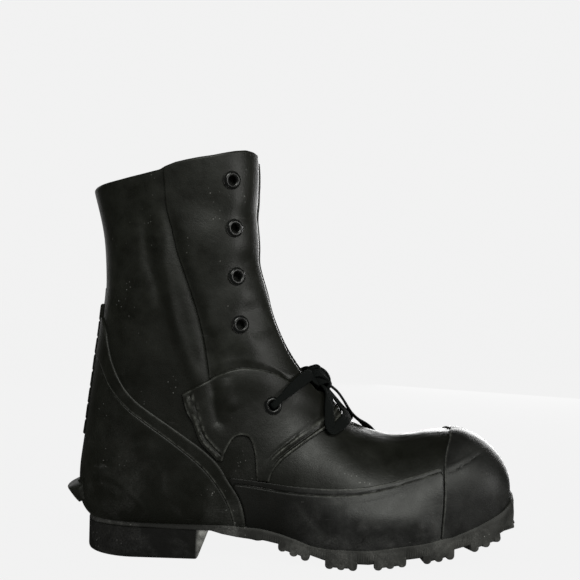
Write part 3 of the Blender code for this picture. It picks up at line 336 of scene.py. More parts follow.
SWELLS = (
    # height, radius, x, z
    (1.3, 11.0, -44.1, 258.0), (1.3, 11.0, -41.0, 224.0), (1.4, 11.0, -39.0, 189.0),
    (1.7, 12.0, -36.3, 153.0), (1.6, 11.0, -25.5, 130.0), (0.9, 9.0, -40.7, 132.0),
    (-1.5, 9.0, -38.0, 215.5), (-1.5, 9.0, -35.1, 180.0), (-1.6, 9.0, -44.0, 147.0),
    (-1.2, 8.0, -40.0, 249.0), (1.5, 15.0, 44.0, 66.0), (1.0, 10.0, -6.0, 124.0),
    (-0.7, 12.0, -62.0, 250.0), (0.6, 16.0, -75.0, 232.0), (0.8, 20.0, 28.0, 74.0),
    (0.7, 16.0, -128.0, 214.0), (-0.6, 14.0, -140.0, 236.0),
)


def fold_depth(points, line, width):
    """How strongly a fold along a side-view line tells at points (x, z)."""
    line = np.array(line)
    steps = np.linalg.norm(np.diff(line, axis=0), axis=1)
    start, total = np.concatenate([[0.0], np.cumsum(steps)]), steps.sum()
    nearest, travel = np.full(len(points), 1e9), np.zeros(len(points))
    for index, (low, high) in enumerate(zip(line, line[1:])):
        part = np.clip(((points - low) @ (high - low)) / steps[index] ** 2, 0.0, 1.0)
        gap = np.linalg.norm(points - low - part[:, None] * (high - low), axis=1)
        closer = gap < nearest
        nearest = np.where(closer, gap, nearest)
        travel = np.where(closer, start[index] + part * steps[index], travel)
    ends = np.clip(np.minimum(travel, total - travel) / (0.22 * total), 0.0, 1.0)
    return hump(nearest, 0.0, width) * ends ** 0.7


relief = np.zeros(form.shape[:2])
for side, weight in ((1, 1.0), (-1, 0.75)):
    columns = slice(FRONT, None) if side > 0 else slice(0, FRONT + 1)
    spots = plain_form[:, columns][..., (0, 2)]
    part_relief = np.zeros(spots.shape[:2])
    for depth, width, line in FOLDS:
        low, high = np.min(line, axis=0) - 3.0 * width, np.max(line, axis=0) + 3.0 * width
        near = ((spots > low) & (spots < high)).all(axis=2)
        part_relief[near] -= weight * depth * fold_depth(spots[near], line, width)
    for height, radius, x, z in SWELLS:
        gap = np.linalg.norm(spots - np.array((x, z)), axis=2)
        part_relief += weight * height * hump(gap, 0.0, radius)
    # they fade out over the instep and at the back line
    side_on = np.clip((np.abs(FORM_ROUND[columns]) - 0.55) / 0.3, 0.0, 1.0)
    side_on *= np.clip((1.99 - np.abs(FORM_ROUND[columns])) / 0.25, 0.0, 1.0)
    relief[:, columns] += part_relief * side_on[None, :]
# and faint waves run round the shaft and along the foot
section_grid, round_grid = np.meshgrid(FORM_SECTIONS, FORM_ROUND, indexing="ij")
shaft = np.clip((section_grid - 19.0) / 4.0, 0.0, 1.0)
relief += shaft * 0.45 * np.sin(1.9 * section_grid + 4.0 * np.cos(0.5 * math.pi * round_grid))
relief += 0.3 * np.sin(0.9 * section_grid + math.pi * round_grid) * np.clip(
    section_grid / 6.0, 0.0, 1.0)
form = plain_form + relief[..., None] * outward_of(plain_form)
outward = outward_of(form)


def off_form(along, around, height):
    """Points at a height over the form, in mm."""
    direction = sample(outward, along, around)
    direction = direction / np.linalg.norm(direction, axis=-1, keepdims=True)
    return sample(form, along, around) + np.asarray(height)[..., None] * direction


def points_of(mesh):
    """A mesh's points, in metres."""
    points = np.empty(len(mesh.vertices) * 3)
    mesh.vertices.foreach_get("co", points)
    return points.reshape(-1, 3)


def set_points(mesh, points):
    """Moves a mesh's points to places given in mm on the last."""
    mesh.vertices.foreach_set("co", ((points + TO_CENTRE) * MM).astype(np.float32).ravel())
    mesh.update()


def face_outward(mesh):
    """Flips the active closed mesh if the volume inside it says that it is inside out."""
    mesh.calc_loop_triangles()
    corners = np.empty(len(mesh.loop_triangles) * 3, dtype=int)
    mesh.loop_triangles.foreach_get("vertices", corners)
    one, two, three = points_of(mesh)[corners.reshape(-1, 3)].transpose(1, 0, 2)
    if (one * np.cross(two, three)).sum() < 0.0:
        bpy.ops.object.mode_set(mode="EDIT")
        bpy.ops.mesh.select_all(action="SELECT")
        bpy.ops.mesh.flip_normals()
        bpy.ops.object.mode_set(mode="OBJECT")


def flat_grid(name, rows, columns, carried):
    """A flat grid with the row and column of each of its points. It carries a value of
    each named table at each point, which stays with the point as the mesh changes."""
    bpy.ops.mesh.primitive_grid_add(x_subdivisions=rows - 1, y_subdivisions=columns - 1,
                                    size=2.0, location=(0.0, 0.0, 0.0))
    made = bpy.context.object
    made.name = name
    made.data.name = name
    made.data.uv_layers.remove(made.data.uv_layers[0])
    share = 0.5 * (points_of(made.data) + 1.0)
    row = np.rint(share[:, 0] * (rows - 1)).astype(int)
    column = np.rint(share[:, 1] * (columns - 1)).astype(int)
    for key, table in carried.items():
        values = np.broadcast_to(table, (rows, columns))[row, column]
        made.data.attributes.new(key, "FLOAT", "POINT").data.foreach_set(
            "value", values.astype(np.float32))
    return made, row, column


def apply_modifier(piece, name, kind, **settings):
    """Gives a piece a modifier, and applies it."""
    bpy.context.view_layer.objects.active = piece
    step = piece.modifiers.new(name, kind)
    for key, value in settings.items():
        setattr(step, key, value)
    bpy.ops.object.modifier_apply(modifier=name)


def lay_ply(name, along, around, top, under, missing=None, worn=None):
    """A closed ply of rubber laid over the form: a grid wrapped onto the places along and
    around, its outside at the heights top and its underside at the heights under. The
    share worn, if given, says where its edges have greyed."""
    carried = {"along": along, "around": around, "top": top, "under": under}
    if worn is not None:
        carried["worn"] = np.clip(worn, 0.0, 1.0)
    ply, row, column = flat_grid(name, *along.shape, carried)
    mesh = ply.data
    top = np.broadcast_to(top, along.shape)
    set_points(mesh, off_form(along[row, column], around[row, column], top[row, column]))
    if missing is not None:
        corners = np.array([[row[i], column[i]] for face in mesh.polygons
                            for i in face.vertices]).reshape(-1, 4, 2).min(axis=1)
        gone = missing[corners[:, 0], corners[:, 1]]
        pick("FACE", mesh.polygons, lambda face: gone[face.index])
        bpy.ops.mesh.delete(type="FACE")
    bpy.ops.object.mode_set(mode="EDIT")
    bpy.ops.mesh.select_mode(type="VERT")
    bpy.ops.mesh.select_all(action="SELECT")
    bpy.ops.mesh.remove_doubles(threshold=0.000004)
    bpy.ops.object.mode_set(mode="OBJECT")
    count = len(mesh.vertices)
    apply_modifier(ply, "wall", "SOLIDIFY", thickness=0.0005, offset=-1.0)
    read = {}
    for key in ("along", "around", "top", "under"):
        read[key] = np.empty(len(mesh.vertices), dtype=np.float32)
        mesh.attributes[key].data.foreach_get("value", read[key])
        mesh.attributes.remove(mesh.attributes[key])
    height = np.concatenate([read["top"][:count], read["under"][count:]])
    set_points(mesh, off_form(read["along"], read["around"], height))
    face_outward(mesh)
    bpy.ops.object.shade_smooth_by_angle(angle=math.radians(40.0))
    return ply


def finished(piece, material, node):
    """Gives a finished piece its material, and puts it in its CAD node's place."""
    piece.data.materials.clear()
    piece.data.materials.append(material)
    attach(piece, "root")
    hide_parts(node)
    bpy.ops.object.select_all(action="DESELECT")


def add_step(tree, kind, sockets=None, **settings):
    """One node of a material."""
    step = tree.nodes.new(kind)
    for key, value in settings.items():
        setattr(step, key, value)
    feed(tree, step, sockets or {})
    return step


def place_on(tree):
    """The place on the piece, in metres."""
    return add_step(tree, "ShaderNodeTexCoord").outputs["Object"]


def place_along(tree, axis):
    return add_step(tree, "ShaderNodeSeparateXYZ", {"Vector": place_on(tree)}).outputs[axis]


def carried_by(tree, attribute):
    """What the mesh carries at each point."""
    return add_step(tree, "ShaderNodeAttribute", attribute_name=attribute).outputs["Fac"]


def noise(tree, place, scale, detail, rough=0.5, warp=0.0):
    return add_step(tree, "ShaderNodeTexNoise",
                    {"Vector": place, "Scale": scale, "Detail": detail, "Roughness": rough,
                     "Distortion": warp}).outputs["Fac"]


def ramp(tree, source, low, high, start=0.0, end=1.0):
    """Goes from start, where the source is up to low, to end, where it is high or more."""
    return add_step(tree, "ShaderNodeMapRange",
                    {"Value": source, "From Min": low, "From Max": high, "To Min": start,
                     "To Max": end}, clamp=True).outputs["Result"]


def reckon(tree, operation, one, other=0.0, **settings):
    return add_step(tree, "ShaderNodeMath", {0: one, 1: other}, operation=operation,
                    **settings).outputs["Value"]


def multiply(tree, one, other):
    return reckon(tree, "MULTIPLY", one, other)


def mix_colour(tree, share, one, other):
    return add_step(tree, "ShaderNodeMix", {0: share, 6: one, 7: other},
                    data_type="RGBA").outputs[2]


def moulded_rubber(name, black, bloom, shine=0.40, dust=0.12, grain=0.5, gloss=0.30):
    """Cured rubber: near black, with a grey-green bloom in clouds, settled dust that
    thickens towards the ground, specks, scuffs and the fine grain of its mould."""
    made, tree, shader = new_material(name)
    place = place_on(tree)
    mottle = noise(tree, place, 75.0, 4.0, 0.6)
    fine = noise(tree, place, 950.0, 2.0)
    patchy = multiply(tree, ramp(tree, noise(tree, place, 13.0, 3.0), 0.36, 0.68),
                      ramp(tree, mottle, 0.3, 0.72))
    colour = mix_colour(tree, patchy, (*black, 1.0), (*bloom, 1.0))

    low_down = ramp(tree, place_along(tree, "Z"), 0.015, 0.11, 1.0, 0.12)
    settled = multiply(tree, low_down,
                       ramp(tree, noise(tree, place, 38.0, 5.0, 0.65, 0.6), 0.46, 0.72))
    settled = multiply(tree, multiply(tree, settled, ramp(tree, fine, 0.25, 0.7)), dust)
    colour = mix_colour(tree, settled, colour, (0.13, 0.13, 0.12, 1.0))

    brushed = add_step(tree, "ShaderNodeMapping",
                       {"Vector": place, "Scale": (26.0, 26.0, 190.0),
                        "Rotation": (0.3, 0.7, 0.2)}).outputs["Vector"]
    scuffs = multiply(tree, ramp(tree, noise(tree, brushed, 1.0, 6.0, 0.7, 0.4), 0.63, 0.74),
                      ramp(tree, noise(tree, place, 22.0, 2.0), 0.55, 0.68))
    colour = mix_colour(tree, multiply(tree, scuffs, 0.35), colour, (0.10, 0.10, 0.095, 1.0))

    dots = add_step(tree, "ShaderNodeTexVoronoi",
                    {"Vector": place, "Scale": 330.0}).outputs["Distance"]
    specks = multiply(tree, ramp(tree, dots, 0.08, 0.16, 1.0, 0.0),
                      ramp(tree, noise(tree, place, 34.0, 4.0, 0.75), 0.57, 0.66))
    colour = mix_colour(tree, multiply(tree, specks, 0.42), colour, (0.28, 0.28, 0.26, 1.0))

    worn = multiply(tree, carried_by(tree, "worn"),
                    ramp(tree, noise(tree, place, 230.0, 4.0, 0.7), 0.36, 0.62))
    colour = mix_colour(tree, worn, colour, (0.115, 0.118, 0.102, 1.0))

    rough = reckon(tree, "ADD", ramp(tree, mottle, 0.0, 1.0, shine - 0.09, shine + 0.15),
                   multiply(tree, settled, 0.5), use_clamp=True)
    soft = add_step(tree, "ShaderNodeBump",
                    {"Height": mottle, "Strength": 0.20, "Distance": 0.0016})
    grained = add_step(tree, "ShaderNodeBump",
                       {"Height": fine, "Strength": grain, "Distance": 0.00012,
                        "Normal": soft.outputs["Normal"]})
    feed(tree, shader, {"Base Color": colour, "Roughness": rough,
                        "Normal": grained.outputs["Normal"], "Specular IOR Level": gloss})
    return made


black_rubber = moulded_rubber("black_rubber", (0.0032, 0.0034, 0.0023),
                              (0.0088, 0.0095, 0.0070))
COLLAR_RISE = np.array((
    # x, how far the edge rises over the collar's section
    (-158.0, 2.2), (-145.7, 2.5), (-132.0, 2.2), (-115.0, 2.4), (-101.5, 2.9), (-97.5, 4.3),
    (-90.0, 5.6), (-82.0, 5.9), (-74.0, 6.0), (-64.0, 5.8), (-55.0, 6.2), (-48.0, 6.5),
    (-42.0, 6.4), (-37.5, 5.2), (-33.5, 2.6), (-30.0, 1.2)))
COLLAR_SPREAD = 4.0     # how many sections under the collar share in its rise


def collar_at(around):
    """The section at which the wavy top edge lies. Sections are 13.6 mm apart in front
    there and 35.5 mm apart behind."""
    rise = np.interp(sample(plain_form[..., 0], COLLAR, around), *COLLAR_RISE.T)
    return COLLAR + rise / (13.6 + 21.9 * sample(form_share, COLLAR, around))


def under_collar(along, around):
    """Sections near the top drawn up or down to the wavy top edge."""
    start = COLLAR - COLLAR_SPREAD
    drawn_up = start + (along - start) * (collar_at(around) - start) / COLLAR_SPREAD
    return np.where(along > start, drawn_up, along)


def wall_at(along, around):
    """The wall: thin at the flaps, underneath and towards the collar."""
    ahead = np.maximum(THROAT - along, 0.0)
    edge_gap = np.hypot(from_throat(along, around), ahead * 10.0)
    flap = np.interp(along, *FLAP)
    flap = np.where(ahead > 0.0, FLAP_AHEAD + (flap - FLAP_AHEAD) * np.maximum(
        0.0, 1.0 - 0.5 * ahead), flap)
    insulated = np.clip((edge_gap - flap) / WALL_SLOPE, 0.0, 1.0)
    thick = WALL_THIN + (WALL - WALL_THIN) * insulated
    downward = -sample(outward[..., 2], along, around)
    under = np.interp(downward, (0.5, 0.9), (WALL, WALL_THIN))
    thick = np.where(along < 18.0, np.minimum(thick, under), thick)
    return np.minimum(thick, np.interp(along, (COLLAR - 2.0, COLLAR), (WALL, WALL_COLLAR)))


def round_off(distance, radius):
    """How far a rounded edge has fallen away, from 1 at the edge to 0 at its radius."""
    share = np.clip(distance / radius, 0.0, 1.0)
    return 1.0 - np.sqrt(1.0 - (1.0 - share) ** 2)


section_rows = np.concatenate([
    np.linspace(0.0, 2.0, 14, endpoint=False), np.linspace(2.0, THROAT, 62, endpoint=False),
    np.linspace(THROAT, 20.0, 44, endpoint=False), np.linspace(20.0, 27.8, 58),
    [27.9, 27.95, 27.98, 28.0]])
half_round = np.concatenate([[1.0, 1.004, 1.012, 1.024, 1.045], np.linspace(1.07, 2.0, 80)])
round_rows = np.concatenate([-half_round[::-1], np.linspace(-1.0, 1.0, 17)[1:-1], half_round])
upper_along, upper_around = np.meshgrid(section_rows, round_rows, indexing="ij")
collar_gap = (COLLAR - upper_along) * 22.0      # sections are about 22 mm apart there
upper_along = under_collar(upper_along, upper_around)
flap_gap = np.where(upper_along >= THROAT - 0.01, from_throat(upper_along, upper_around), 9.0)
rim_drop = 1.3 * round_off(np.minimum(flap_gap, collar_gap), 1.5)
wall_mm = wall_at(upper_along, upper_around)
in_throat = ((upper_along >= THROAT - 0.001) & (upper_around > -1.0001)
             & (upper_around < 0.9999))
upper = lay_ply("upper", upper_along, upper_around, -rim_drop, -wall_mm + rim_drop,
                missing=in_throat[:-1, :-1])
finished(upper, black_rubber, "upper")

# ---------------------------------------------------------------- tongue
# A gusset of thin rubber behind the throat, cured to the inside of both flaps, so that
# no snow gets in. It folds in soft pleats where the flaps draw together.
TONGUE, TONGUE_TOP = 2.2, 27.4
TONGUE_DROP = ((13.0, 14.6, 17.5, 20.0), (0.4, 5.0, 5.0, 0.9))     # section, gap over it
tongue_along, tongue_around = np.meshgrid(
    np.concatenate([np.linspace(THROAT - 0.8, 26.8, 90), [27.0, 27.2, 27.32, TONGUE_TOP]]),
    np.linspace(-1.24, 1.24, 64), indexing="ij")
pleat = np.clip((tongue_along - 17.5) / 2.0, 0.0, 1.0) * np.clip(
    (1.0 - np.abs(tongue_around)) / 0.25, 0.0, 1.0)
tongue_face = -WALL_THIN - np.interp(tongue_along, *TONGUE_DROP) - pleat * (
    2.6 * (0.5 - 0.5 * np.cos(2.0 * math.pi * np.abs(tongue_around) ** 0.8))
    + 0.9 * np.sin(2.6 * tongue_along + 3.0 * tongue_around)
    + 0.5 * np.sin(5.3 * tongue_along - 5.0 * tongue_around))
tongue_rim = 0.7 * np.clip(1.0 - (TONGUE_TOP - tongue_along) / 0.1, 0.0, 1.0) ** 2
tongue = lay_ply("tongue", tongue_along, tongue_around, tongue_face - tongue_rim,
                 tongue_face - TONGUE + tongue_rim)
tongue_rubber = moulded_rubber("tongue_rubber", (0.0070, 0.0073, 0.0060),
                               (0.0160, 0.0166, 0.0140), shine=0.52, dust=0.2)
finished(tongue, tongue_rubber, "tongue")

# ---------------------------------------------------------------- insole
# The foot bed: thick grey felt cut to the foot, lying on the upper's turned-in margin.
INSOLE, BED_HALF_WIDTH, BED_FRONT, BED_END = 5.0, 31.0, 3.0, 16.5


def from_back(along, side, distance):
    """The place round a section at a distance from the back line, in mm. The distance
    shrinks with the section where that is short, near the tip."""
    length = side_length(along, (side + 1) // 2)
    return 2.0 - distance * np.minimum(1.0, length / 110.0) / length


bed_along, bed_share = np.meshgrid(
    np.concatenate([[BED_FRONT, 3.02, 3.06, 3.12, 3.2], np.linspace(3.3, 16.1, 72),
                    [16.3, 16.42, 16.47, BED_END]]),
    np.concatenate([[0.0, 0.006, 0.018, 0.035], np.linspace(0.055, 0.945, 34),
                    [0.965, 0.982, 0.994, 1.0]]), indexing="ij")
bed_low = from_back(bed_along, 1, BED_HALF_WIDTH)
bed_high = 4.0 - from_back(bed_along, -1, BED_HALF_WIDTH)
bed_around = bed_low + bed_share * (bed_high - bed_low)
bed_wall = wall_at(bed_along, np.where(bed_around > 2.0, bed_around - 4.0, bed_around)) + 0.4
bed_edge = np.minimum(
    2.0 * BED_HALF_WIDTH * np.minimum(bed_share, 1.0 - bed_share),
    12.0 * np.minimum(bed_along - BED_FRONT, BED_END - bed_along))
bed_round = 2.0 * round_off(bed_edge, 2.0)
bed_hollow = 0.5 * np.sin(0.8 * bed_along) * np.clip(bed_edge / 12.0, 0.0, 1.0)
insole = lay_ply("insole", bed_along, bed_around, -bed_wall - 0.6 * bed_round,
                 -bed_wall - INSOLE + bed_round + bed_hollow)
grey_felt, felt_tree, felt_shader = new_material("grey_felt")
felt_place = place_on(felt_tree)
felt_tufts = noise(felt_tree, felt_place, 420.0, 6.0, 0.7, 1.5)
felt_wear = ramp(felt_tree, noise(felt_tree, felt_place, 24.0, 3.0), 0.45, 0.7)
felt_colour = mix_colour(felt_tree, ramp(felt_tree, felt_tufts, 0.35, 0.65),
                         (0.030, 0.030, 0.027, 1.0), (0.085, 0.083, 0.075, 1.0))
felt_colour = mix_colour(felt_tree, multiply(felt_tree, felt_wear, 0.6), felt_colour,
                         (0.030, 0.029, 0.026, 1.0))
felt_bump = add_step(felt_tree, "ShaderNodeBump",
                     {"Height": felt_tufts, "Strength": 0.8, "Distance": 0.0006})
feed(felt_tree, felt_shader, {
    "Base Color": felt_colour, "Normal": felt_bump.outputs["Normal"], "Roughness": 0.95,
    "Sheen Weight": 0.3})
finished(insole, grey_felt, "insole")

# ---------------------------------------------------------------- outsole
# Forefoot, waist and heel seat moulded in one of hard rubber, cupped to the upper. Its
# edge is ribbed and scalloped, with rounded lugs in threes and bars down the middle.
SOLE = np.array((
    # x, underside, ground under the lugs, top of the edge, how far the edge stands out
    (-170.0, 21.2, 21.2, 25.8, 1.6),
    (-58.0, 21.2, 21.2, 25.8, 1.6),
    (-50.0, 19.4, 18.6, 26.0, 1.8),
    (-40.0, 18.0, 16.5, 25.8, 2.0),
    (-20.0, 16.0, 14.0, 24.0, 2.4),
    (-8.0, 13.8, 10.6, 21.5, 2.6),
    (4.0, 11.0, 6.2, 18.0, 2.8),
    (14.0, 7.2, 3.4, 15.4, 2.8),
    (27.0, 3.6, 0.0, 14.4, 2.8),
    (55.0, 3.6, 0.0, 14.9, 2.8),
    (64.0, 5.4, 1.8, 16.2, 2.8),
    (78.0, 7.8, 4.2, 18.6, 2.8),
    (96.0, 10.4, 6.8, 21.4, 2.8),
    (113.0, 15.0, 10.0, 25.0, 2.8),
    (130.0, 20.0, 15.4, 31.5, 3.2),
    (147.0, 26.0, 22.0, 40.5, 4.2),
    (158.0, 31.2, 27.6, 49.5, 5.4),
    (168.0, 36.0, 33.0, 52.5, 6.0),
))
UNDERSIDE, GROUND, TOP_EDGE, LIP = 1, 2, 3, 4      # the columns of that table
RIB_PITCH = 1.7
LUG_GROUP, LUG_PITCH, LUG_WIDTH, LUG_LENGTH, LUG_DEPTH = 34.0, 8.2, 6.2, 24.0, 7.0
LAST_LUG_X = -26.0
MIDDLE_BARS = range(-12, 108, 17)           # where the pairs of middle bars start
BAR_SPLAY, BAR_LENGTH = 62.0, 0.83          # their angle, and their share of a lug


def sole_at(x, column):
    return np.interp(x, SOLE[:, 0], SOLE[:, column])


def sole_line(side, rise=0.0):
    """The places where one side of the form meets the top of the sole's edge, from the
    toe's tip to the middle of the heel."""
    columns = FRONT + side * np.arange(FRONT + 1)
    above = plain_form[:, columns, 2] - sole_at(plain_form[:, columns, 0], TOP_EDGE) - rise
    line = []
    for row, gaps in enumerate(above):
        if gaps[-1] < 0.0 and gaps[0] > 0.0 and FORM_SECTIONS[row] < 21.0:
            index = int(np.max(np.nonzero(gaps >= 0.0)))
            part = gaps[index] / (gaps[index] - gaps[index + 1])
            line.append((FORM_SECTIONS[row], places_round[index] + part * ROUND_STEP))
    line = np.array(line)
    line = np.concatenate([[(line[0, 0] - 0.5 * SECTION_STEP, 2.0)], line,
                           [(line[-1, 0] + 0.5 * SECTION_STEP, 2.0)]])
    return line * (1.0, side)


def stations(line, shares):
    """Places at shares of the length of a line on the form."""
    points = sample(plain_form, *line.T)
    steps = np.linalg.norm(np.diff(points, axis=0), axis=1)
    distance = np.concatenate([[0.0], np.cumsum(steps)])
    keep = np.concatenate([[True], steps > 1e-7])
    distance, line = distance[keep], line[keep]
    return np.stack([np.interp(np.asarray(shares) * distance[-1], distance, line[:, axis])
                     for axis in (0, 1)], axis=1)


def between(low, high, shares):
    """A net from one line of points across to another."""
    shares = shares[None, :, None]
    return low[:, None] * (1.0 - shares) + high[:, None] * shares


EDGE_STATIONS, SMOOTHED = 760, 24       # the outward directions are smoothed both ways
edges = {}
for side in (1, -1):
    places = stations(sole_line(side), np.linspace(0.0, 1.0, EDGE_STATIONS))
    spots = sample(plain_form, *places.T)
    spots[:, 2] = sole_at(spots[:, 0], TOP_EDGE)
    if side < 0:
        ends = 0.5 * (edges[1][0][[0, -1]] + spots[[0, -1]])
        spots[[0, -1]] = ends
        edges[1][0][[0, -1]] = ends
    heading = np.gradient(spots[:, :2], axis=0)
    level = np.stack([heading[:, 1], -heading[:, 0]], axis=1) * -side
    level /= np.linalg.norm(level, axis=1, keepdims=True)
    mirrored = np.concatenate([level[SMOOTHED:0:-1] * (1.0, -1.0), level,
                               level[-2:-SMOOTHED - 2:-1] * (1.0, -1.0)])
    window = np.ones(SMOOTHED + 1) / (SMOOTHED + 1.0)
    level = np.stack([np.convolve(mirrored[:, axis], window, "same")[SMOOTHED:-SMOOTHED]
                      for axis in (0, 1)], axis=1)
    level[0], level[-1] = (1.0, 0.0), (-1.0, 0.0)
    level /= np.linalg.norm(level, axis=1, keepdims=True)
    travel = np.concatenate([[0.0], np.cumsum(np.linalg.norm(
        np.diff(spots[:, :2], axis=0), axis=1))])
    edges[side] = (spots, level, travel)


def edge_profile(side):
    """The edge from inside its top lip, over the lip, down the ribbed side and under to
    the underside's rim, as a net of stations by profile points."""
    spots, level, travel = edges[side]
    lip = sole_at(spots[:, 0], LIP)
    top, foot = spots[:, 2], sole_at(spots[:, 0], UNDERSIDE)
    turn = 2.0 * math.pi * (travel - LUG_PITCH - 8.5) / LUG_GROUP
    forefoot = np.clip((spots[:, 0] + 34.0) / 20.0, 0.0, 1.0)
    pad = np.clip(0.5 + 1.3 * np.cos(turn), 0.0, 1.0) * forefoot
    ribs = (0.5 + 0.5 * np.cos(2.0 * math.pi * travel / RIB_PITCH)) * forefoot
    profile = []
    for down, out, rib_share, pad_share in (     # shares of the height, ribs and pads
            (-0.10, -1.9, 0.0, 0.0), (-0.10, -0.75, 0.0, 0.0), (0.0, -0.3, 0.0, 0.0),
            (0.06, -0.06, 0.0, 0.0), (0.14, 0.0, 0.0, 0.0), (0.24, 0.0, 0.2, 0.0),
            (0.36, -0.05, 1.0, 0.5), (0.50, -0.10, 1.0, 1.0), (0.64, -0.15, 1.0, 1.0),
            (0.78, -0.25, 1.0, 1.0), (0.90, -0.45, 1.0, 0.9), (0.97, -0.9, 0.5, 0.5),
            (1.0, -1.6, 0.0, 0.0), (1.0, -2.6, 0.0, 0.0), (1.0, -5.0, 0.0, 0.0)):
        arch = (1.2 * (1.0 - pad) - 2.5 * pad) * forefoot * np.clip(down, 0.0, 1.0) ** 3
        z = top + (foot - top) * down + arch * (out > -3.0)
        relief_out = 0.5 * pad * pad_share + rib_share * (1.0 - pad) * 0.42 * (ribs - 1.0)
        reach = lip + out + relief_out
        profile.append(np.stack([spots[:, 0] + level[:, 0] * reach,
                                 spots[:, 1] + level[:, 1] * reach, z], axis=1))
    return np.stack(profile, axis=1)


def net_of(name, points, **carried):
    """A mesh wrapped onto a net of points, rows by columns, whose columns close a ring
    and whose first and last rows shrink to seams."""
    rows, columns = points.shape[:2]
    again = np.arange(columns + 1) % columns
    made, row, column = flat_grid(name, rows, columns + 1, {
        key: np.broadcast_to(table, (rows, columns))[:, again]
        for key, table in carried.items()})
    set_points(made.data, points[row, column % columns])
    bpy.ops.object.mode_set(mode="EDIT")
    bpy.ops.mesh.select_mode(type="VERT")
    bpy.ops.mesh.select_all(action="SELECT")
    bpy.ops.mesh.remove_doubles(threshold=0.000002)
    bpy.ops.mesh.normals_make_consistent(inside=False)
    bpy.ops.object.mode_set(mode="OBJECT")
    face_outward(made.data)
    return made


inner_edge, outer_edge = edge_profile(1), edge_profile(-1)
shares_across = np.linspace(0.1, 0.9, 9)
underside = between(inner_edge[:, -1], outer_edge[:, -1], shares_across)
underside[..., 2] = sole_at(underside[..., 0], UNDERSIDE)
seat = between(outer_edge[:, 0], inner_edge[:, 0], shares_across)
seat[..., 2] -= 1.2 * np.sin(math.pi * shares_across)
sole_ring = np.concatenate([inner_edge, underside, outer_edge[:, ::-1], seat], axis=1)
outsole = net_of("outsole", sole_ring)

bpy.ops.mesh.primitive_cube_add(size=1.0, location=(0.5, 0.0, 0.0))
lug = bpy.context.object
lug.name = "lug"
bpy.ops.object.mode_set(mode="EDIT")
bpy.ops.mesh.select_all(action="SELECT")
bpy.ops.transform.resize(value=(LUG_LENGTH * MM, LUG_WIDTH * MM, LUG_DEPTH * MM),
                         center_override=(0.0, 0.0, 0.0))
bpy.ops.object.mode_set(mode="OBJECT")
bpy.ops.object.transform_apply(location=True, rotation=True, scale=True)
lug_points = points_of(lug.data)


def along_its_foot(edge):
    one, two = (lug_points[index] for index in edge.vertices)
    return one[2] < 0.0 and two[2] < 0.0 and abs(one[0] - two[0]) > MM


pick("EDGE", lug.data.edges, along_its_foot)
bpy.ops.mesh.bevel(offset=2.8 * MM, segments=5)
bpy.ops.object.mode_set(mode="OBJECT")
pick("FACE", lug.data.polygons, lambda face: abs(face.normal.x) > 0.9)
bpy.ops.mesh.bevel(offset=0.7 * MM, segments=2)
bpy.ops.object.mode_set(mode="OBJECT")
bpy.ops.object.select_all(action="DESELECT")


def set_lug(x, y, heading, length_share=1.0):
    """A copy of the lug from (x, y) inward, its foot on the ground line of the sole."""
    copy = lug.copy()
    copy.data = lug.data.copy()
    bpy.context.collection.objects.link(copy)
    length = LUG_LENGTH * length_share
    near_z = sole_at(x, GROUND)
    pitch = math.atan2(near_z - sole_at(x + length * math.cos(heading), GROUND), length)
    centre = np.array((x, y, near_z + 0.5 * LUG_DEPTH)) + TO_CENTRE
    copy.data.transform(Matrix.Translation(Vector(centre * MM))
                        @ Matrix.Rotation(heading, 4, "Z") @ Matrix.Rotation(pitch, 4, "Y")
                        @ Matrix.Diagonal((length_share, 1.0, 1.0, 1.0)))
    return copy


def select_only(pieces, active):
    bpy.ops.object.select_all(action="DESELECT")
    for piece in pieces:
        piece.select_set(True)
    bpy.context.view_layer.objects.active = active


def join_into(whole, pieces):
    """Joins pieces into one of them."""
    select_only(pieces, whole)
    bpy.ops.object.join()
    return whole


lugs = []
for side in (1, -1):
    spots, level, travel = edges[side]
    first = 0.5 * LUG_GROUP - LUG_PITCH
    while first + 2.0 * LUG_PITCH < np.interp(LAST_LUG_X, spots[::-1, 0], travel[::-1]):
        for place in first + LUG_PITCH * np.arange(3):
            x, y = (np.interp(place, travel, spots[:, axis]) for axis in (0, 1))
            out_x, out_y = (np.interp(place, travel, level[:, axis]) for axis in (0, 1))
            lip = sole_at(x, LIP)
            lugs.append(set_lug(x + out_x * lip, y + out_y * lip,
                                math.atan2(-out_y, -out_x)))
        first += LUG_GROUP
for x in MIDDLE_BARS:
    for side in (1, -1):
        lugs.append(set_lug(x, side * 2.0 + 1.0, side * math.radians(BAR_SPLAY), BAR_LENGTH))
bpy.data.objects.remove(lug, do_unlink=True)
lug_bars = join_into(lugs[0], lugs)
select_only([outsole], outsole)
apply_modifier(outsole, "lugs", "BOOLEAN", operation="UNION", solver="MANIFOLD",
               object=lug_bars)
bpy.data.objects.remove(lug_bars, do_unlink=True)
bpy.ops.object.shade_smooth_by_angle(angle=math.radians(42.0))
sole_rubber = moulded_rubber("sole_rubber", (0.0115, 0.0116, 0.0102), (0.032, 0.032, 0.0285),
                             shine=0.56, dust=0.45, grain=0.8, gloss=0.25)
finished(outsole, sole_rubber, "outsole")

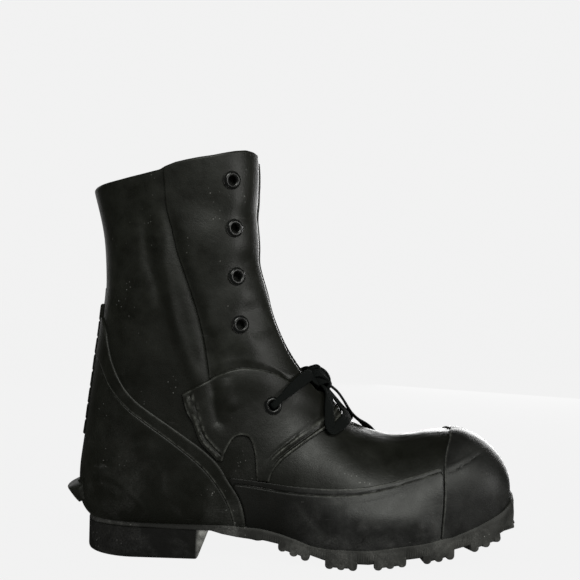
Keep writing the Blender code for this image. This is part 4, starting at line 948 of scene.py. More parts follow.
# ---------------------------------------------------------------- heel block
# A solid D of hard rubber, a little wider at the top, cured to the heel seat. Its tread
# is a shallow cross-cut; the raked breast at the front is the most worn.
HEEL_HALF_WIDTH, HEEL_BACK, HEEL_BREAST, HEEL_RAKE, HEEL_HEIGHT = 38.5, -151.7, -68.0, 7.5, 20.9
HEEL_CORNER, HEEL_MIDDLE_X, HEEL_HALF_LENGTH = 2.0, -106.0, 45.0
HEEL_SIDE_X = (-72.0, -110.0)       # where its straight sides start and end
TREAD_X = (-140.0, -78.0, 7)        # the first and last row of tread bars, and how many
TREAD_MARGIN, TREAD_WIDTH, TREAD_DEPTH, TREAD_SLANT = 6.0, 5.0, 2.4, 0.18
HEEL_LAYERS = (
    # height of each layer upward, how much wider its top is
    (0.9, 0.35), (1.1, 0.15), (9.0, 0.1), (9.0, 0.1), (1.25, 0.05))
corner_turns = np.linspace(0.0, 0.5 * math.pi, 6)
corner_x = HEEL_BREAST - HEEL_CORNER + HEEL_CORNER * np.sin(corner_turns)
corner_y = HEEL_HALF_WIDTH - HEEL_CORNER + HEEL_CORNER * np.cos(corner_turns)
back_turns = np.linspace(0.5 * math.pi, 1.5 * math.pi, 61)
side_x = np.linspace(*HEEL_SIDE_X, 12)
breast_y = np.linspace(-34.0, 34.0, 18)
heel_rim = np.concatenate([
    np.stack([corner_x[::-1], corner_y[::-1]], axis=1),
    np.stack([side_x, np.full(12, HEEL_HALF_WIDTH)], axis=1),
    np.stack([HEEL_BACK + HEEL_HALF_WIDTH * (1.0 + np.cos(back_turns)),
              HEEL_HALF_WIDTH * np.sin(back_turns)], axis=1),
    np.stack([side_x[::-1], np.full(12, -HEEL_HALF_WIDTH)], axis=1),
    np.stack([corner_x, -corner_y], axis=1),
    np.stack([np.full(18, HEEL_BREAST), breast_y], axis=1)])
bpy.ops.mesh.primitive_circle_add(vertices=len(heel_rim), radius=0.04, fill_type="NGON",
                                  location=(0.0, 0.0, 0.0))
heel_block = bpy.context.object
heel_block.name = heel_block.data.name = "heel_block"
set_points(heel_block.data, np.column_stack([heel_rim, np.zeros(len(heel_rim))]))
heel_middle = (TO_CENTRE + (HEEL_MIDDLE_X, 0.0, 0.0)) * MM
bpy.ops.object.mode_set(mode="EDIT")
bpy.ops.mesh.select_all(action="SELECT")
for rise, grow in HEEL_LAYERS:
    bpy.ops.mesh.extrude_region_move(TRANSFORM_OT_translate={"value": (0, 0, rise * MM)})
    bpy.ops.transform.resize(
        value=(1.0 + grow / HEEL_HALF_LENGTH, 1.0 + grow / HEEL_HALF_WIDTH, 1.0),
        center_override=heel_middle)
bpy.ops.mesh.select_all(action="SELECT")
bpy.ops.mesh.normals_make_consistent(inside=False)
bpy.ops.object.mode_set(mode="OBJECT")
heel_points = points_of(heel_block.data) / MM - TO_CENTRE
front = np.clip((heel_points[:, 0] + 85.0) / 17.0, 0.0, 1.0)
heel_points[:, 0] += front * HEEL_RAKE * heel_points[:, 2] / HEEL_HEIGHT
set_points(heel_block.data, heel_points)
pick("FACE", heel_block.data.polygons,
     lambda face: face.normal.z < -0.9 and len(face.vertices) > 8)
bpy.ops.mesh.inset(thickness=1.5 * MM)
bpy.ops.mesh.inset(thickness=0.4 * MM, depth=-1.6 * MM)
bpy.ops.object.mode_set(mode="OBJECT")
tread_bars = []
tread_half = HEEL_HALF_WIDTH - TREAD_MARGIN
for x in np.linspace(*TREAD_X):
    into_curve = max(HEEL_BACK + HEEL_HALF_WIDTH - x, 0.0)
    reach_y = math.sqrt(max(tread_half ** 2 - into_curve ** 2, 64.0))
    for sign in (1, -1):
        centre = TO_CENTRE + (x, sign * (0.5 * reach_y + 0.8), 1.25)
        bpy.ops.mesh.primitive_cube_add(size=1.0, location=centre * MM)
        bar = bpy.context.object
        bar.scale = (TREAD_WIDTH * MM, (reach_y - 1.6) * MM, TREAD_DEPTH * MM)
        bar.rotation_euler = (0.0, 0.0, sign * TREAD_SLANT)
        bpy.ops.object.transform_apply(location=True, rotation=True, scale=True)
        apply_modifier(bar, "worn", "BEVEL", width=0.4 * MM, segments=2)
        tread_bars.append(bar)
join_into(heel_block, [heel_block, *tread_bars])
bpy.ops.object.shade_smooth_by_angle(angle=math.radians(35.0))
heel_rubber = moulded_rubber("heel_rubber", (0.0032, 0.0032, 0.0028), (0.0075, 0.0075, 0.0066),
                             shine=0.50, dust=0.12, grain=0.4, gloss=0.28)


def paint_over(rubber, share_of, one=None, other=None):
    """Mixes two colours by a share of the way from one to the other. The colour that is
    left out is the rubber's own."""
    tree = rubber.node_tree
    shader = tree.nodes["Principled BSDF"]
    colour = shader.inputs["Base Color"].links[0].from_socket
    feed(tree, shader, {"Base Color": mix_colour(tree, share_of(tree), one or colour,
                                                 other or colour)})


def worn_breast(tree):
    return multiply(tree, ramp(tree, place_along(tree, "X"), -0.0672, -0.0640),
                    ramp(tree, noise(tree, place_on(tree), 160.0, 5.0, 0.7), 0.28, 0.62))


paint_over(heel_rubber, worn_breast, other=(0.20, 0.20, 0.185, 1.0))
finished(heel_block, heel_rubber, "heel_block")

# ---------------------------------------------------------------- heel counter
# The stiff outer ply round the heel, cut to a swept line from the back down to the
# waist and cured on under the binding strips.
OVERLAY_GAP, OVERLAY, COUNTER = 0.30, 1.6, 1.15
SOLE_GAP = 0.3      # how far the outer plies stop above the sole's edge
BINDING_FRONT = ((-175.0, 174.0), (-150.0, 174.0), (-141.5, 165.5), (-136.6, 151.0),
                 (-132.5, 139.5), (-123.8, 123.2), (-114.0, 112.8), (-101.8, 104.4),
                 (-85.0, 93.4), (-72.6, 85.0), (-62.5, 77.5), (-53.5, 69.0),
                 (-46.5, 58.0), (-38.8, 47.0), (-34.6, 36.0), (-32.0, 20.0))
COUNTER_FRONT = ((-175.0, 144.0), (-150.0, 143.0), (-141.5, 135.5), (-133.0, 120.5),
                 (-121.0, 107.5), (-107.0, 97.5), (-90.0, 86.0), (-74.0, 74.0),
                 (-62.8, 64.0), (-54.2, 53.8), (-47.8, 44.0), (-43.0, 33.0),
                 (-40.0, 20.0))


def drawn(outline, spacing=2.5):
    """An outline as a smooth line of closely spaced points."""
    points = np.array(outline, float)
    made = []
    for index, gap in enumerate(np.linalg.norm(np.diff(points, axis=0), axis=1)):
        count = max(int(gap / spacing), 1)
        made.append(smooth_between(points, index, (np.arange(count) / count)[:, None]))
    return np.concatenate(made + [points[-1:]])


def above_sole(outline):
    """The part of a falling edge that lies above the top of the sole's edge."""
    points = drawn(outline)
    heights = points[:, 1] - sole_at(points[:, 0], TOP_EDGE) - SOLE_GAP
    last = int(np.argmax(heights <= 0.0))
    part = heights[last - 1] / (heights[last - 1] - heights[last])
    return np.concatenate([points[:last],
                           [points[last - 1] + part * (points[last] - points[last - 1])]])


def sole_part(side, low_x, high_x):
    """The sole's line on one side from low_x to high_x, in that order."""
    line = sole_line(side, SOLE_GAP)
    x = sample(plain_form[..., 0], *line.T)
    order = np.argsort(x)
    x, line = x[order], line[order]
    return np.stack([np.interp(np.linspace(low_x, high_x, 240), x, line[:, axis])
                     for axis in (0, 1)], axis=1)


def round_back(inner, outer):
    """One line from the inner side's first place over the back line to the outer side."""
    outer = outer[::-1].copy()
    outer[:, 1] = 4.0 + outer[:, 1]
    joint = [(0.5 * (inner[-1, 0] + outer[0, 0]), 2.0)]
    inner = inner[inner[:, 1] < 1.9995]
    outer = outer[outer[:, 1] > 2.0005]
    return np.concatenate([inner, joint, outer])


EDGE_NEAR = np.array((0.0, 0.15, 0.4, 0.75, 1.2, 1.8, 2.6))


def edge_steps(width, spacing, first=True, last=True):
    """Shares of a width, closer where an edge is rounded."""
    low = EDGE_NEAR if first else EDGE_NEAR[:1]
    high = width - (EDGE_NEAR[::-1] if last else EDGE_NEAR[:1])
    room = high[0] - low[-1]
    middle = np.linspace(low[-1], high[0], max(int(room / spacing), 1) + 1)[1:-1]
    return np.concatenate([low, middle, high]) / width


def eased(distance, full, radius=1.7, start=0.25):
    """The height of a ply's outside at a distance from its rounded edge."""
    return full * (1.0 - (1.0 - start) * round_off(distance, radius))


def gaps_to_edges(along, around):
    """For each place of a net, how far it lies from the net's first and last row and
    from its first and last column, in mm."""
    points = sample(plain_form, along, around)
    gaps = []
    for axis in (0, 1):
        steps = np.linalg.norm(np.diff(points, axis=axis), axis=2)
        start = np.zeros_like(steps.take([0], axis))
        travel = np.concatenate([start, steps.cumsum(axis=axis)], axis=axis)
        gaps += [travel, travel.take([-1], axis) - travel]
    return gaps


counter_edges = {side: locate(above_sole(COUNTER_FRONT), side) for side in (1, -1)}
sole_back = {}
for side, edge in counter_edges.items():
    corner_x = float(sample(plain_form[..., 0], *edge[-1]))
    sole_back[side] = np.concatenate([edge[-1:], sole_part(side, corner_x, -157.0)[1:]])
low_line = round_back(sole_back[1], sole_back[-1])
high_line = round_back(counter_edges[1][::-1], counter_edges[-1][::-1])
fan = np.linspace(0.0, 1.0, 241)
counter_net = between(stations(low_line, fan), stations(high_line, fan),
                      edge_steps(110.0, 2.4, first=False))
edge_gap = gaps_to_edges(counter_net[..., 0], counter_net[..., 1])[3]
heel_counter = lay_ply("heel_counter", counter_net[..., 0], counter_net[..., 1],
                       OVERLAY_GAP + eased(edge_gap, COUNTER), 0.1)
finished(heel_counter, black_rubber, "heel_counter")

# ---------------------------------------------------------------- counter bindings
# A strip of rubber on each side covers the counter's raw front edge, from the back down
# to the sole. It is rolled on, a little thicker than the counter, with feathered edges.
BINDING = 1.45
SIDES = ((1, "inner"), (-1, "outer"))
for side, side_name in SIDES:
    low = locate(above_sole(COUNTER_FRONT), side)
    high = locate(above_sole(BINDING_FRONT), side)
    lengthwise = np.linspace(0.0, 1.0, 170)
    strip = between(stations(low, lengthwise), stations(high, lengthwise),
                    edge_steps(11.0, 1.4))
    gaps = gaps_to_edges(strip[..., 0], strip[..., 1])
    strip_top = OVERLAY_GAP + eased(gaps[2], BINDING, 1.3, 0.72) * eased(
        gaps[3], 1.0, 1.6, 0.3)
    binding = lay_ply("counter_binding_" + side_name, strip[..., 0], strip[..., 1],
                      strip_top, 0.05,
                      worn=0.36 * hump(gaps[2], 0.8, 0.45) + 0.12 * hump(gaps[3], 1.1, 0.6))
    finished(binding, black_rubber, "counter_binding_" + side_name)

# ---------------------------------------------------------------- back strip
# A strip of rubber up the back seam, moulded in short segments so that it bends with
# the leg.
BACK_STRIP, BACK_STRIP_WIDTH, BACK_STRIP_HEIGHTS = 2.6, 25.0, (82.0, 180.0)
SEGMENTS = 8


def across_back(along, reach):
    """The place at a distance in mm to one side or the other of the back line."""
    return np.where(reach < 0.0, from_back(along, 1, -reach), 4.0 - from_back(along, -1, reach))


up_the_back = FORM_SECTIONS > 19.5
strip_ends = np.interp(BACK_STRIP_HEIGHTS, plain_form[up_the_back, -1, 2],
                       FORM_SECTIONS[up_the_back])
strip_rows = edge_steps(BACK_STRIP_HEIGHTS[1] - BACK_STRIP_HEIGHTS[0], 0.75)
strip_along, strip_share = np.meshgrid(
    strip_ends[0] + (strip_ends[1] - strip_ends[0]) * strip_rows,
    edge_steps(BACK_STRIP_WIDTH, 1.8), indexing="ij")
strip_around = across_back(strip_along, 0.5 * BACK_STRIP_WIDTH * (2.0 * strip_share - 1.0))
gaps = gaps_to_edges(strip_along, strip_around)
from_side = np.minimum(gaps[2], gaps[3])
from_edge = np.minimum(np.minimum(gaps[0], gaps[1]), from_side)
segment = np.abs(((strip_rows * SEGMENTS) % 1.0) - 0.5) * 2.0
notch_depth = hump(segment, 1.0, 0.10) * ((strip_rows > 0.03) & (strip_rows < 0.97))
back_strip = lay_ply("back_strip", strip_along, strip_around,
                     OVERLAY_GAP + eased(from_edge, BACK_STRIP)
                     - notch_depth[:, None] * np.clip(from_side / 2.0, 0.3, 1.0), 0.05)
finished(back_strip, black_rubber, "back_strip")

# ---------------------------------------------------------------- heel ledge
# A solid wedge cured on behind the heel, flat on top, which holds the heel strap of a
# ski or snowshoe.
LEDGE_SEAT, LEDGE_HALF_WIDTH = 2.3, 26.0
LEDGE_PROFILE = ((32.8, 34.0, 44.3, 44.7, 45.1, 48.0, 48.5),    # z
                 (0.3, 0.8, 7.6, 7.8, 7.6, 1.3, 0.3))           # how far it stands out
LEDGE_CORNER = ((0.0, 0.5, 1.5, 9.0), (0.05, 0.3, 0.45, 1.0))   # in from its end, share
ledge_along, ledge_reach = np.meshgrid(
    np.concatenate([[18.80, 18.82, 18.87], np.linspace(18.93, 19.40, 12),
                    np.linspace(19.42, 19.63, 23)]),
    np.concatenate([[-LEDGE_HALF_WIDTH, -25.6, -25.0, -24.0], np.linspace(-22.5, 22.5, 31),
                    [24.0, 25.0, 25.6, LEDGE_HALF_WIDTH]]), indexing="ij")
ledge_around = across_back(ledge_along, ledge_reach)
ledge_z = sample(plain_form[..., 2], ledge_along, ledge_around)
ledge_full = np.interp(ledge_z, *LEDGE_PROFILE)
ledge_side = np.interp(LEDGE_HALF_WIDTH - np.abs(ledge_reach), *LEDGE_CORNER)
heel_ledge = lay_ply("heel_ledge", ledge_along, ledge_around,
                     LEDGE_SEAT + ledge_full * ledge_side, 0.6)
finished(heel_ledge, black_rubber, "heel_ledge")

# ---------------------------------------------------------------- toe cap
# The bulbous cap over the toe, moulded in one and cured on over the vamp. Its edge is a
# thin raised line, and a faint ridge runs on over it from the foxing.
TOE_CAP = 1.8
CAP_EDGE = ((119.0, 100.0), (116.0, 94.0), (112.5, 88.0), (109.0, 81.0), (106.8, 72.0),
            (106.2, 56.0), (105.6, 44.0), (104.8, 33.0), (104.4, 18.0))
CAP_FAN = 1.6       # the share round the section at which the edge meets the sole
cap_reach, cap_foot = np.zeros(len(round_rows)), np.zeros(len(round_rows))
for side in (1, -1):
    cap_line = locate(above_sole(CAP_EDGE), side)
    start_x = float(sample(plain_form[..., 0], *cap_line[-1]))
    under_line = sole_part(side, start_x, 158.4)
    tip = (sole_line(side, SOLE_GAP)[0, 0], 2.0 * side)
    line = np.concatenate([[(cap_line[0, 0], 0.0)], cap_line, under_line[1:], [tip]])
    down = len(cap_line) + 1
    fan = np.concatenate([np.abs(line[:down, 1]) * CAP_FAN / abs(line[down - 1, 1]),
                          np.linspace(CAP_FAN, 2.0, len(line) - down + 1)[1:]])
    mine = round_rows * side >= 0.0
    cap_reach[mine] = np.interp(np.abs(round_rows[mine]), fan, line[:, 0])
    cap_foot[mine] = side * np.interp(np.abs(round_rows[mine]), fan, np.abs(line[:, 1]))
cap_share = 1.0 - edge_steps(110.0, 1.1, last=False)[::-1]
cap_share = np.sort(np.concatenate([cap_share, [0.004, 0.010, 0.018, 0.028, 0.040]]))
cap_along = cap_share[:, None] * cap_reach[None, :]
cap_around = round_rows + (cap_foot - round_rows) * cap_share[:, None] ** 2
cap_gap = gaps_to_edges(cap_along, cap_around)[1]
cap_high = np.clip((sample(plain_form[..., 2], cap_along, cap_around) - 70.0) / 8.0, 0.0, 1.0)
cap_thin = cap_high * np.clip(1.0 - cap_gap / 14.0, 0.0, 1.0) ** 2
cap_full = TOE_CAP * (1.0 - 0.68 * cap_thin)
toe_cap = lay_ply("toe_cap", cap_along, cap_around,
                  OVERLAY_GAP + eased(cap_gap, cap_full, 0.8, 0.3)
                  + 0.30 * hump(cap_gap, 0.8, 0.45), 0.05, worn=0.4 * hump(cap_gap, 0.8, 0.5))
cap_rubber = moulded_rubber("cap_rubber", (0.0052, 0.0053, 0.0048), (0.0128, 0.0130, 0.0121),
                            shine=0.46, dust=0.15, grain=0.6)
finished(toe_cap, cap_rubber, "toe_cap")

# ---------------------------------------------------------------- foxing
# A band of tougher, greyer rubber round each side of the foot from the counter to the
# toe cap, with a thin lapped ledge along its top.
JOINT_GAP = 0.3
FOXING_TOP = ((-47.0, 60.3), (-37.6, 59.8), (-20.0, 58.2), (-2.4, 56.6), (14.5, 56.0),
              (31.3, 56.0), (48.1, 57.2), (64.9, 60.4), (81.6, 64.8), (93.4, 68.6),
              (106.0, 72.5))
FOXING_CREASES = (
    # depth, width, line
    (0.7, 3.0, ((2.0, 48.0), (10.0, 38.0), (22.0, 27.0), (38.0, 20.0))),
    (0.4, 2.0, ((60.0, 20.5), (85.0, 22.5), (112.0, 27.0))),
)


def fill_between(low, high, start, end, shares_u, shares_v):
    """A net of places between four lines: low and high run the same way, start joins
    their first ends and end joins their last."""
    low, high = stations(low, shares_u)[:, None], stations(high, shares_u)[:, None]
    start, end = stations(start, shares_v)[None], stations(end, shares_v)[None]
    u, v = shares_u[:, None, None], shares_v[None, :, None]
    return ((1.0 - v) * low + v * high + (1.0 - u) * start + u * end
            - (1.0 - u) * (1.0 - v) * low[:1] - u * (1.0 - v) * low[-1:]
            - (1.0 - u) * v * high[:1] - u * v * high[-1:])


foxing_rubber = moulded_rubber("foxing_rubber", (0.0060, 0.0061, 0.0056),
                               (0.0200, 0.0203, 0.0190), shine=0.43, dust=0.26, grain=0.7,
                               gloss=0.36)
# Painted shade: towards the heel the foxing's colour darkens to near black, standing in for the
# shade that falls on its back end under the waist.
paint_over(foxing_rubber, lambda tree: ramp(tree, place_along(tree, "X"), -0.005, 0.034),
           one=(0.0026, 0.0027, 0.0021, 1.0))
for side, side_name in SIDES:
    top_line = drawn(FOXING_TOP)
    back_edge = above_sole(BINDING_FRONT) + (JOINT_GAP, 0.0)
    front_edge = above_sole(CAP_EDGE) - (JOINT_GAP, 0.0)
    back_edge = back_edge[back_edge[:, 1] < 60.0][::-1]
    front_edge = front_edge[front_edge[:, 1] < 72.0][::-1]
    top_line = top_line[(top_line[:, 0] > back_edge[-1, 0] + 0.5)
                        & (top_line[:, 0] < front_edge[-1, 0] - 0.5)]
    top_line = np.concatenate([back_edge[-1:], top_line, front_edge[-1:]])
    start, end = locate(back_edge, side), locate(front_edge, side)
    bottom = sole_part(side, float(sample(plain_form[..., 0], *start[0])),
                       float(sample(plain_form[..., 0], *end[0])))
    bottom = np.concatenate([start[:1], bottom[1:-1], end[:1]])
    net = fill_between(bottom, locate(top_line, side), start, end,
                       edge_steps(140.0, 1.5), edge_steps(45.0, 0.55, first=False))
    gaps = gaps_to_edges(net[..., 0], net[..., 1])
    ledge_width = np.interp(net[..., 0], (6.0, 13.0), (3.6, 5.6))
    lapped = 0.50 + 0.50 / (1.0 + np.exp((ledge_width - gaps[3]) / 0.28))
    places_z = sample(plain_form[..., 2], net[..., 0], net[..., 1])
    places_x = sample(plain_form[..., 0], net[..., 0], net[..., 1])
    bulge = 4.4 * hump(places_z, 33.0, np.where(places_z < 33.0, 9.5, 13.0))
    bulge *= np.interp(places_x, (10.0, 20.0, 38.0, 88.0, 106.0), (0.0, 0.2, 0.9, 1.0, 0.1))
    bulge -= 1.1 * hump(places_z, 26.0, 13.0) * np.interp(
        places_x, (-38.0, -24.0, 4.0, 20.0), (0.0, 1.0, 1.0, 0.0))
    bulge *= np.clip((gaps[3] - ledge_width) / 6.0, 0.0, 1.0)
    side_view = np.stack([places_x.ravel(), places_z.ravel()], axis=1)
    creases = sum(depth * fold_depth(side_view, line, width).reshape(places_x.shape)
                  for depth, width, line in FOXING_CREASES)
    top = (OVERLAY_GAP + eased(gaps[3], OVERLAY, 0.8, 0.45) * lapped
           * eased(np.minimum(gaps[0], gaps[1]), 1.0, 1.2, 0.35) + bulge - creases
           - 0.55 * hump(gaps[3], ledge_width - 0.5, 0.5))
    foxing = lay_ply("foxing_" + side_name, net[..., 0], net[..., 1], top, 0.05,
                     worn=0.45 * hump(gaps[3], ledge_width + 0.5, 0.5)
                     + 0.4 * hump(gaps[3], 0.7, 0.5))
    finished(foxing, foxing_rubber, "foxing_" + side_name)

# ---------------------------------------------------------------- ankle patches
# A patch on each side carries the lowest eyelet. The two meet over the instep in front
# of the throat, and each has an arched notch in its lower edge, over the waist.
PATCH = 2.0
PATCH_TOP = ((-81.3, 119.1), (-73.7, 123.6), (-61.1, 130.6), (-48.5, 136.4),
             (-38.6, 138.2), (-28.6, 137.2), (-18.5, 134.7), (-11.3, 131.4),
             (-5.0, 128.0), (8.0, 127.0))
PATCH_FRONT = ((34.4, 104.1), (32.6, 101.2), (27.5, 97.8), (19.6, 93.8), (8.9, 87.0),
               (-1.5, 79.6), (-9.0, 73.4), (-13.5, 68.0))
PATCH_FOOT = ((-13.5, 68.0), (-15.8, 63.5), (-17.0, 58.3))
PATCH_NOTCH = ((-26.3, 58.9), (-26.9, 64.5), (-28.3, 76.6), (-31.7, 87.4), (-35.5, 90.2),
               (-40.5, 90.2), (-44.6, 87.0), (-49.0, 78.6), (-51.0, 71.6))
PATCH_BACK = ((-54.4, 71.9), (-62.0, 79.2), (-68.0, 86.0), (-72.0, 96.0), (-75.6, 107.0),
              (-81.3, 119.1))


def up_to_throat(line):
    """A line's places as far as the throat's edge, with its last place on it."""
    size = np.abs(line[:, 1])
    last = int(np.argmax(size <= 1.0)) if (size <= 1.0).any() else len(line) - 1
    part = min(max((size[last - 1] - 1.0) / (size[last - 1] - size[last]), 0.0), 1.0)
    end = line[last - 1] + part * (line[last] - line[last - 1])
    return np.concatenate([line[:last], [end]])


def beads_along(places, line, beads, high_fade):
    """Raised and sunk lines (height, distance, width) that follow an edge, and fade out
    over a tenth of it at its low end and a share of it at its high end."""
    edge = sample(plain_form, *stations(line, np.linspace(0.0, 1.0, 160)).T)
    apart = np.stack([np.linalg.norm(places - point, axis=2) for point in edge])
    share, nearest = apart.argmin(axis=0) / 159.0, apart.min(axis=0)
    fade = np.clip(share / 0.10, 0.0, 1.0) * np.clip((1.0 - share) / high_fade, 0.0, 1.0)
    return fade * sum(height * hump(nearest, distance, width)
                      for height, distance, width in beads)


patches = {}
for side, side_name in SIDES:
    notch = locate(drawn(PATCH_NOTCH, 1.2), side)[::-1]
    top = up_to_throat(locate(drawn(PATCH_TOP), side))
    front = locate(drawn(PATCH_FRONT), side)
    front = front[np.abs(front[:, 1]) > 0.02]
    ridge_end = np.array([(front[0, 0], 0.0)])
    front_line = np.concatenate([ridge_end, front])
    edge_down = np.stack([np.linspace(top[-1, 0], THROAT, 30), np.full(30, float(side))],
                         axis=1)
    throat_foot = np.stack([np.full(16, THROAT), np.linspace(side, 0.0, 16)], axis=1)
    ridge = np.stack([np.linspace(THROAT, ridge_end[0, 0], 10), np.zeros(10)], axis=1)
    foot = locate(drawn(PATCH_FOOT), side)
    outer_parts = (locate(drawn(PATCH_BACK), side), top, edge_down, throat_foot, ridge,
                   front_line, foot)
    # each outer part's stations, and the stretch of the notch that they fan out from
    counts = (44, 56, 24, 14, 8, 80, 12)
    notch_stops = (0.0, 0.20, 0.50, 0.58, 0.63, 0.68, 0.90, 1.0)
    inner_places, outer_places = [], []
    for number, (part, count) in enumerate(zip(outer_parts, counts)):
        shares = np.linspace(0.0, 1.0, count)
        if number:
            shares = shares[1:]
        outer_places.append(stations(part, shares))
        low, high = notch_stops[number:number + 2]
        inner_places.append(stations(notch, low + (high - low) * shares))
    outer_places, inner_places = np.concatenate(outer_places), np.concatenate(inner_places)
    across = np.concatenate([EDGE_NEAR, np.arange(3.6, 36.5, 1.35),
                             np.arange(37.0, 44.4, 0.55), 46.0 - EDGE_NEAR[4::-1]]) / 46.0
    net = between(inner_places, outer_places, across)
    gaps = gaps_to_edges(net[..., 0], net[..., 1])
    ridge_columns = (np.abs(outer_places[:, 1]) < 0.001)[:, None]
    outer_gap = np.where((np.abs(net[..., 1]) < 0.02) | ridge_columns, 9.0, gaps[3])
    places = sample(plain_form, net[..., 0], net[..., 1])
    beads = beads_along(places, front_line, (
        (0.45, 1.2, 0.7), (-0.7, 2.8, 0.8), (0.7, 5.6, 0.8), (-0.5, 7.6, 1.0)), 0.12)
    beads += beads_along(places, outer_parts[0], (
        (0.40, 2.3, 1.1), (-0.75, 4.4, 0.6), (0.25, 5.8, 0.9)), 0.02)
    beads *= np.clip((np.minimum(gaps[2], outer_gap) - 0.3) / 0.8, 0.0, 1.0)
    greyed = beads_along(places, front_line, ((0.7, 1.1, 0.5), (0.75, 5.6, 0.55)), 0.12)
    greyed += beads_along(places, outer_parts[0], ((0.55, 2.2, 0.6), (0.45, 5.8, 0.5)), 0.02)
    greyed += 0.32 * hump(gaps[2], 0.9, 0.6) + 0.2 * hump(outer_gap, 0.8, 0.6)
    patch_top = OVERLAY_GAP + eased(gaps[2], PATCH, 1.0, 0.25) * eased(
        outer_gap, 1.0, 1.3, 0.3) * eased(np.minimum(gaps[0], gaps[1]), 1.0, 1.0, 0.4) + beads
    patches[side] = lay_ply("ankle_patch_" + side_name, net[..., 0], net[..., 1],
                            patch_top, 0.0, worn=greyed)

# ---------------------------------------------------------------- eyelet stays
# A second ply down the front of the shaft on each side carries the upper eyelets. Its
# back edge is feathered and picks up dust; its top is level with the collar.
STAY = 1.3
STAY_BACK = ((-62.4, 129.0), (-65.0, 145.0), (-67.9, 160.4), (-73.9, 181.2), (-82.5, 204.7),
             (-88.3, 220.3), (-92.3, 236.0), (-96.4, 250.0), (-98.0, 264.0),
             (-99.5, 279.6))
stays = {}
for side, side_name in SIDES:
    low = locate(drawn(PATCH_TOP) + (0.0, 0.5), side)
    back = locate(drawn(STAY_BACK), side)
    low = up_to_throat(low[np.abs(low[:, 1]) < abs(back[0, 1])])
    low = np.concatenate([back[:1], low])
    high_around = np.linspace(back[-1, 1], float(side), 60)
    high = np.stack([under_collar(np.full(60, COLLAR), high_around) - 0.012, high_around],
                    axis=1)
    back[-1] = high[0]
    edge = np.stack([np.linspace(low[-1, 0], high[-1, 0], 90), np.full(90, float(side))],
                    axis=1)
    net = fill_between(low, high, back, edge, edge_steps(60.0, 1.2),
                       edge_steps(150.0, 1.5))
    gaps = gaps_to_edges(net[..., 0], net[..., 1])
    feather = np.clip(gaps[2] / 6.0, 0.0, 1.0) ** 0.8
    stay_top = (0.10 + (OVERLAY_GAP - 0.10) * feather + feather * eased(
        gaps[0], STAY, 1.0, 0.5) * eased(gaps[1], 1.0, 1.4, 0.3) * eased(
            gaps[3], 1.0, 1.2, 0.4))
    places_z = sample(plain_form[..., 2], net[..., 0], net[..., 1])
    high_up = np.clip((places_z - 190.0) / 50.0, 0.12, 1.0)
    stays[side] = lay_ply("eyelet_stay_" + side_name, net[..., 0], net[..., 1], stay_top, 0.0,
                          worn=0.42 * hump(gaps[2], 0.0, 1.5) * high_up)

# ---------------------------------------------------------------- eyelets
# Ten turned brass eyelets in black enamel, each clenched through a punched hole in the
# flap and its ply. The enamel is lighter on their rolled rims, partly rubbed wear and partly
# painted highlight.
EYELETS = ((-51.8, 272.5), (-49.3, 238.5), (-46.0, 204.0), (-42.6, 169.5), (-17.0, 111.5))
LOWEST, EYELET_HOLE, EYELET_LIFT = 4, 4.2, 0.15
EYELET_PROFILE = (
    # radius, height, from the foot of the barrel inside, over the rolled rim and back
    (3.0, -1.6), (3.0, 0.4), (3.08, 0.9), (3.35, 1.35), (3.75, 1.66), (4.25, 1.84),
    (4.75, 1.86), (5.25, 1.72), (5.7, 1.46), (6.1, 1.1), (6.4, 0.74), (6.6, 0.5),
    (6.75, 0.3), (6.8, 0.1), (6.75, -0.25), (6.4, -0.35), (3.9, -0.3), (3.9, -1.6))
radius, height = EYELET_PROFILE[0]
bpy.ops.mesh.primitive_circle_add(vertices=48, radius=radius * MM, fill_type="NOTHING",
                                  location=(0.0, 0.0, height * MM))
eyelet = bpy.context.object
eyelet.name = "eyelet"
bpy.ops.object.transform_apply(location=True, rotation=True, scale=True)
bpy.ops.object.mode_set(mode="EDIT")
bpy.ops.mesh.select_all(action="SELECT")
for next_radius, next_height in EYELET_PROFILE[1:]:
    bpy.ops.mesh.extrude_region_move(
        TRANSFORM_OT_translate={"value": (0.0, 0.0, (next_height - height) * MM)})
    bpy.ops.transform.resize(value=(next_radius / radius, next_radius / radius, 1.0),
                             center_override=(0.0, 0.0, next_height * MM))
    radius, height = next_radius, next_height
pick("EDGE", eyelet.data.edges,
     lambda edge: all(eyelet.data.vertices[i].co.z < -1.5 * MM for i in edge.vertices))
bpy.ops.mesh.bridge_edge_loops()
bpy.ops.mesh.select_all(action="SELECT")
bpy.ops.mesh.normals_make_consistent(inside=False)
bpy.ops.object.mode_set(mode="OBJECT")
bpy.ops.object.shade_smooth_by_angle(angle=math.radians(50.0))
bpy.ops.object.select_all(action="DESELECT")
ring_points = points_of(eyelet.data) / MM
ring_radius = np.linalg.norm(ring_points[:, :2], axis=1)
# Lighter enamel on the rolled crest and the flange's outer edge: partly rubbed wear, partly
# painted highlight.
crest = 0.10 * hump(ring_radius, 4.2, 0.5) + 0.5 * hump(ring_radius, 6.65, 0.14)
crest = np.where(ring_points[:, 2] > 0.3, crest, 0.0)
eyelet.data.attributes.new("rubbed_and_highlight", "FLOAT", "POINT").data.foreach_set("value", crest)

black_enamel, enamel_tree, enamel_shader = new_material("black_enamel")
enamel_chips = noise(enamel_tree, place_on(enamel_tree), 700.0, 5.0, 0.65)
chipped = ramp(enamel_tree, enamel_chips, 0.62, 0.70)
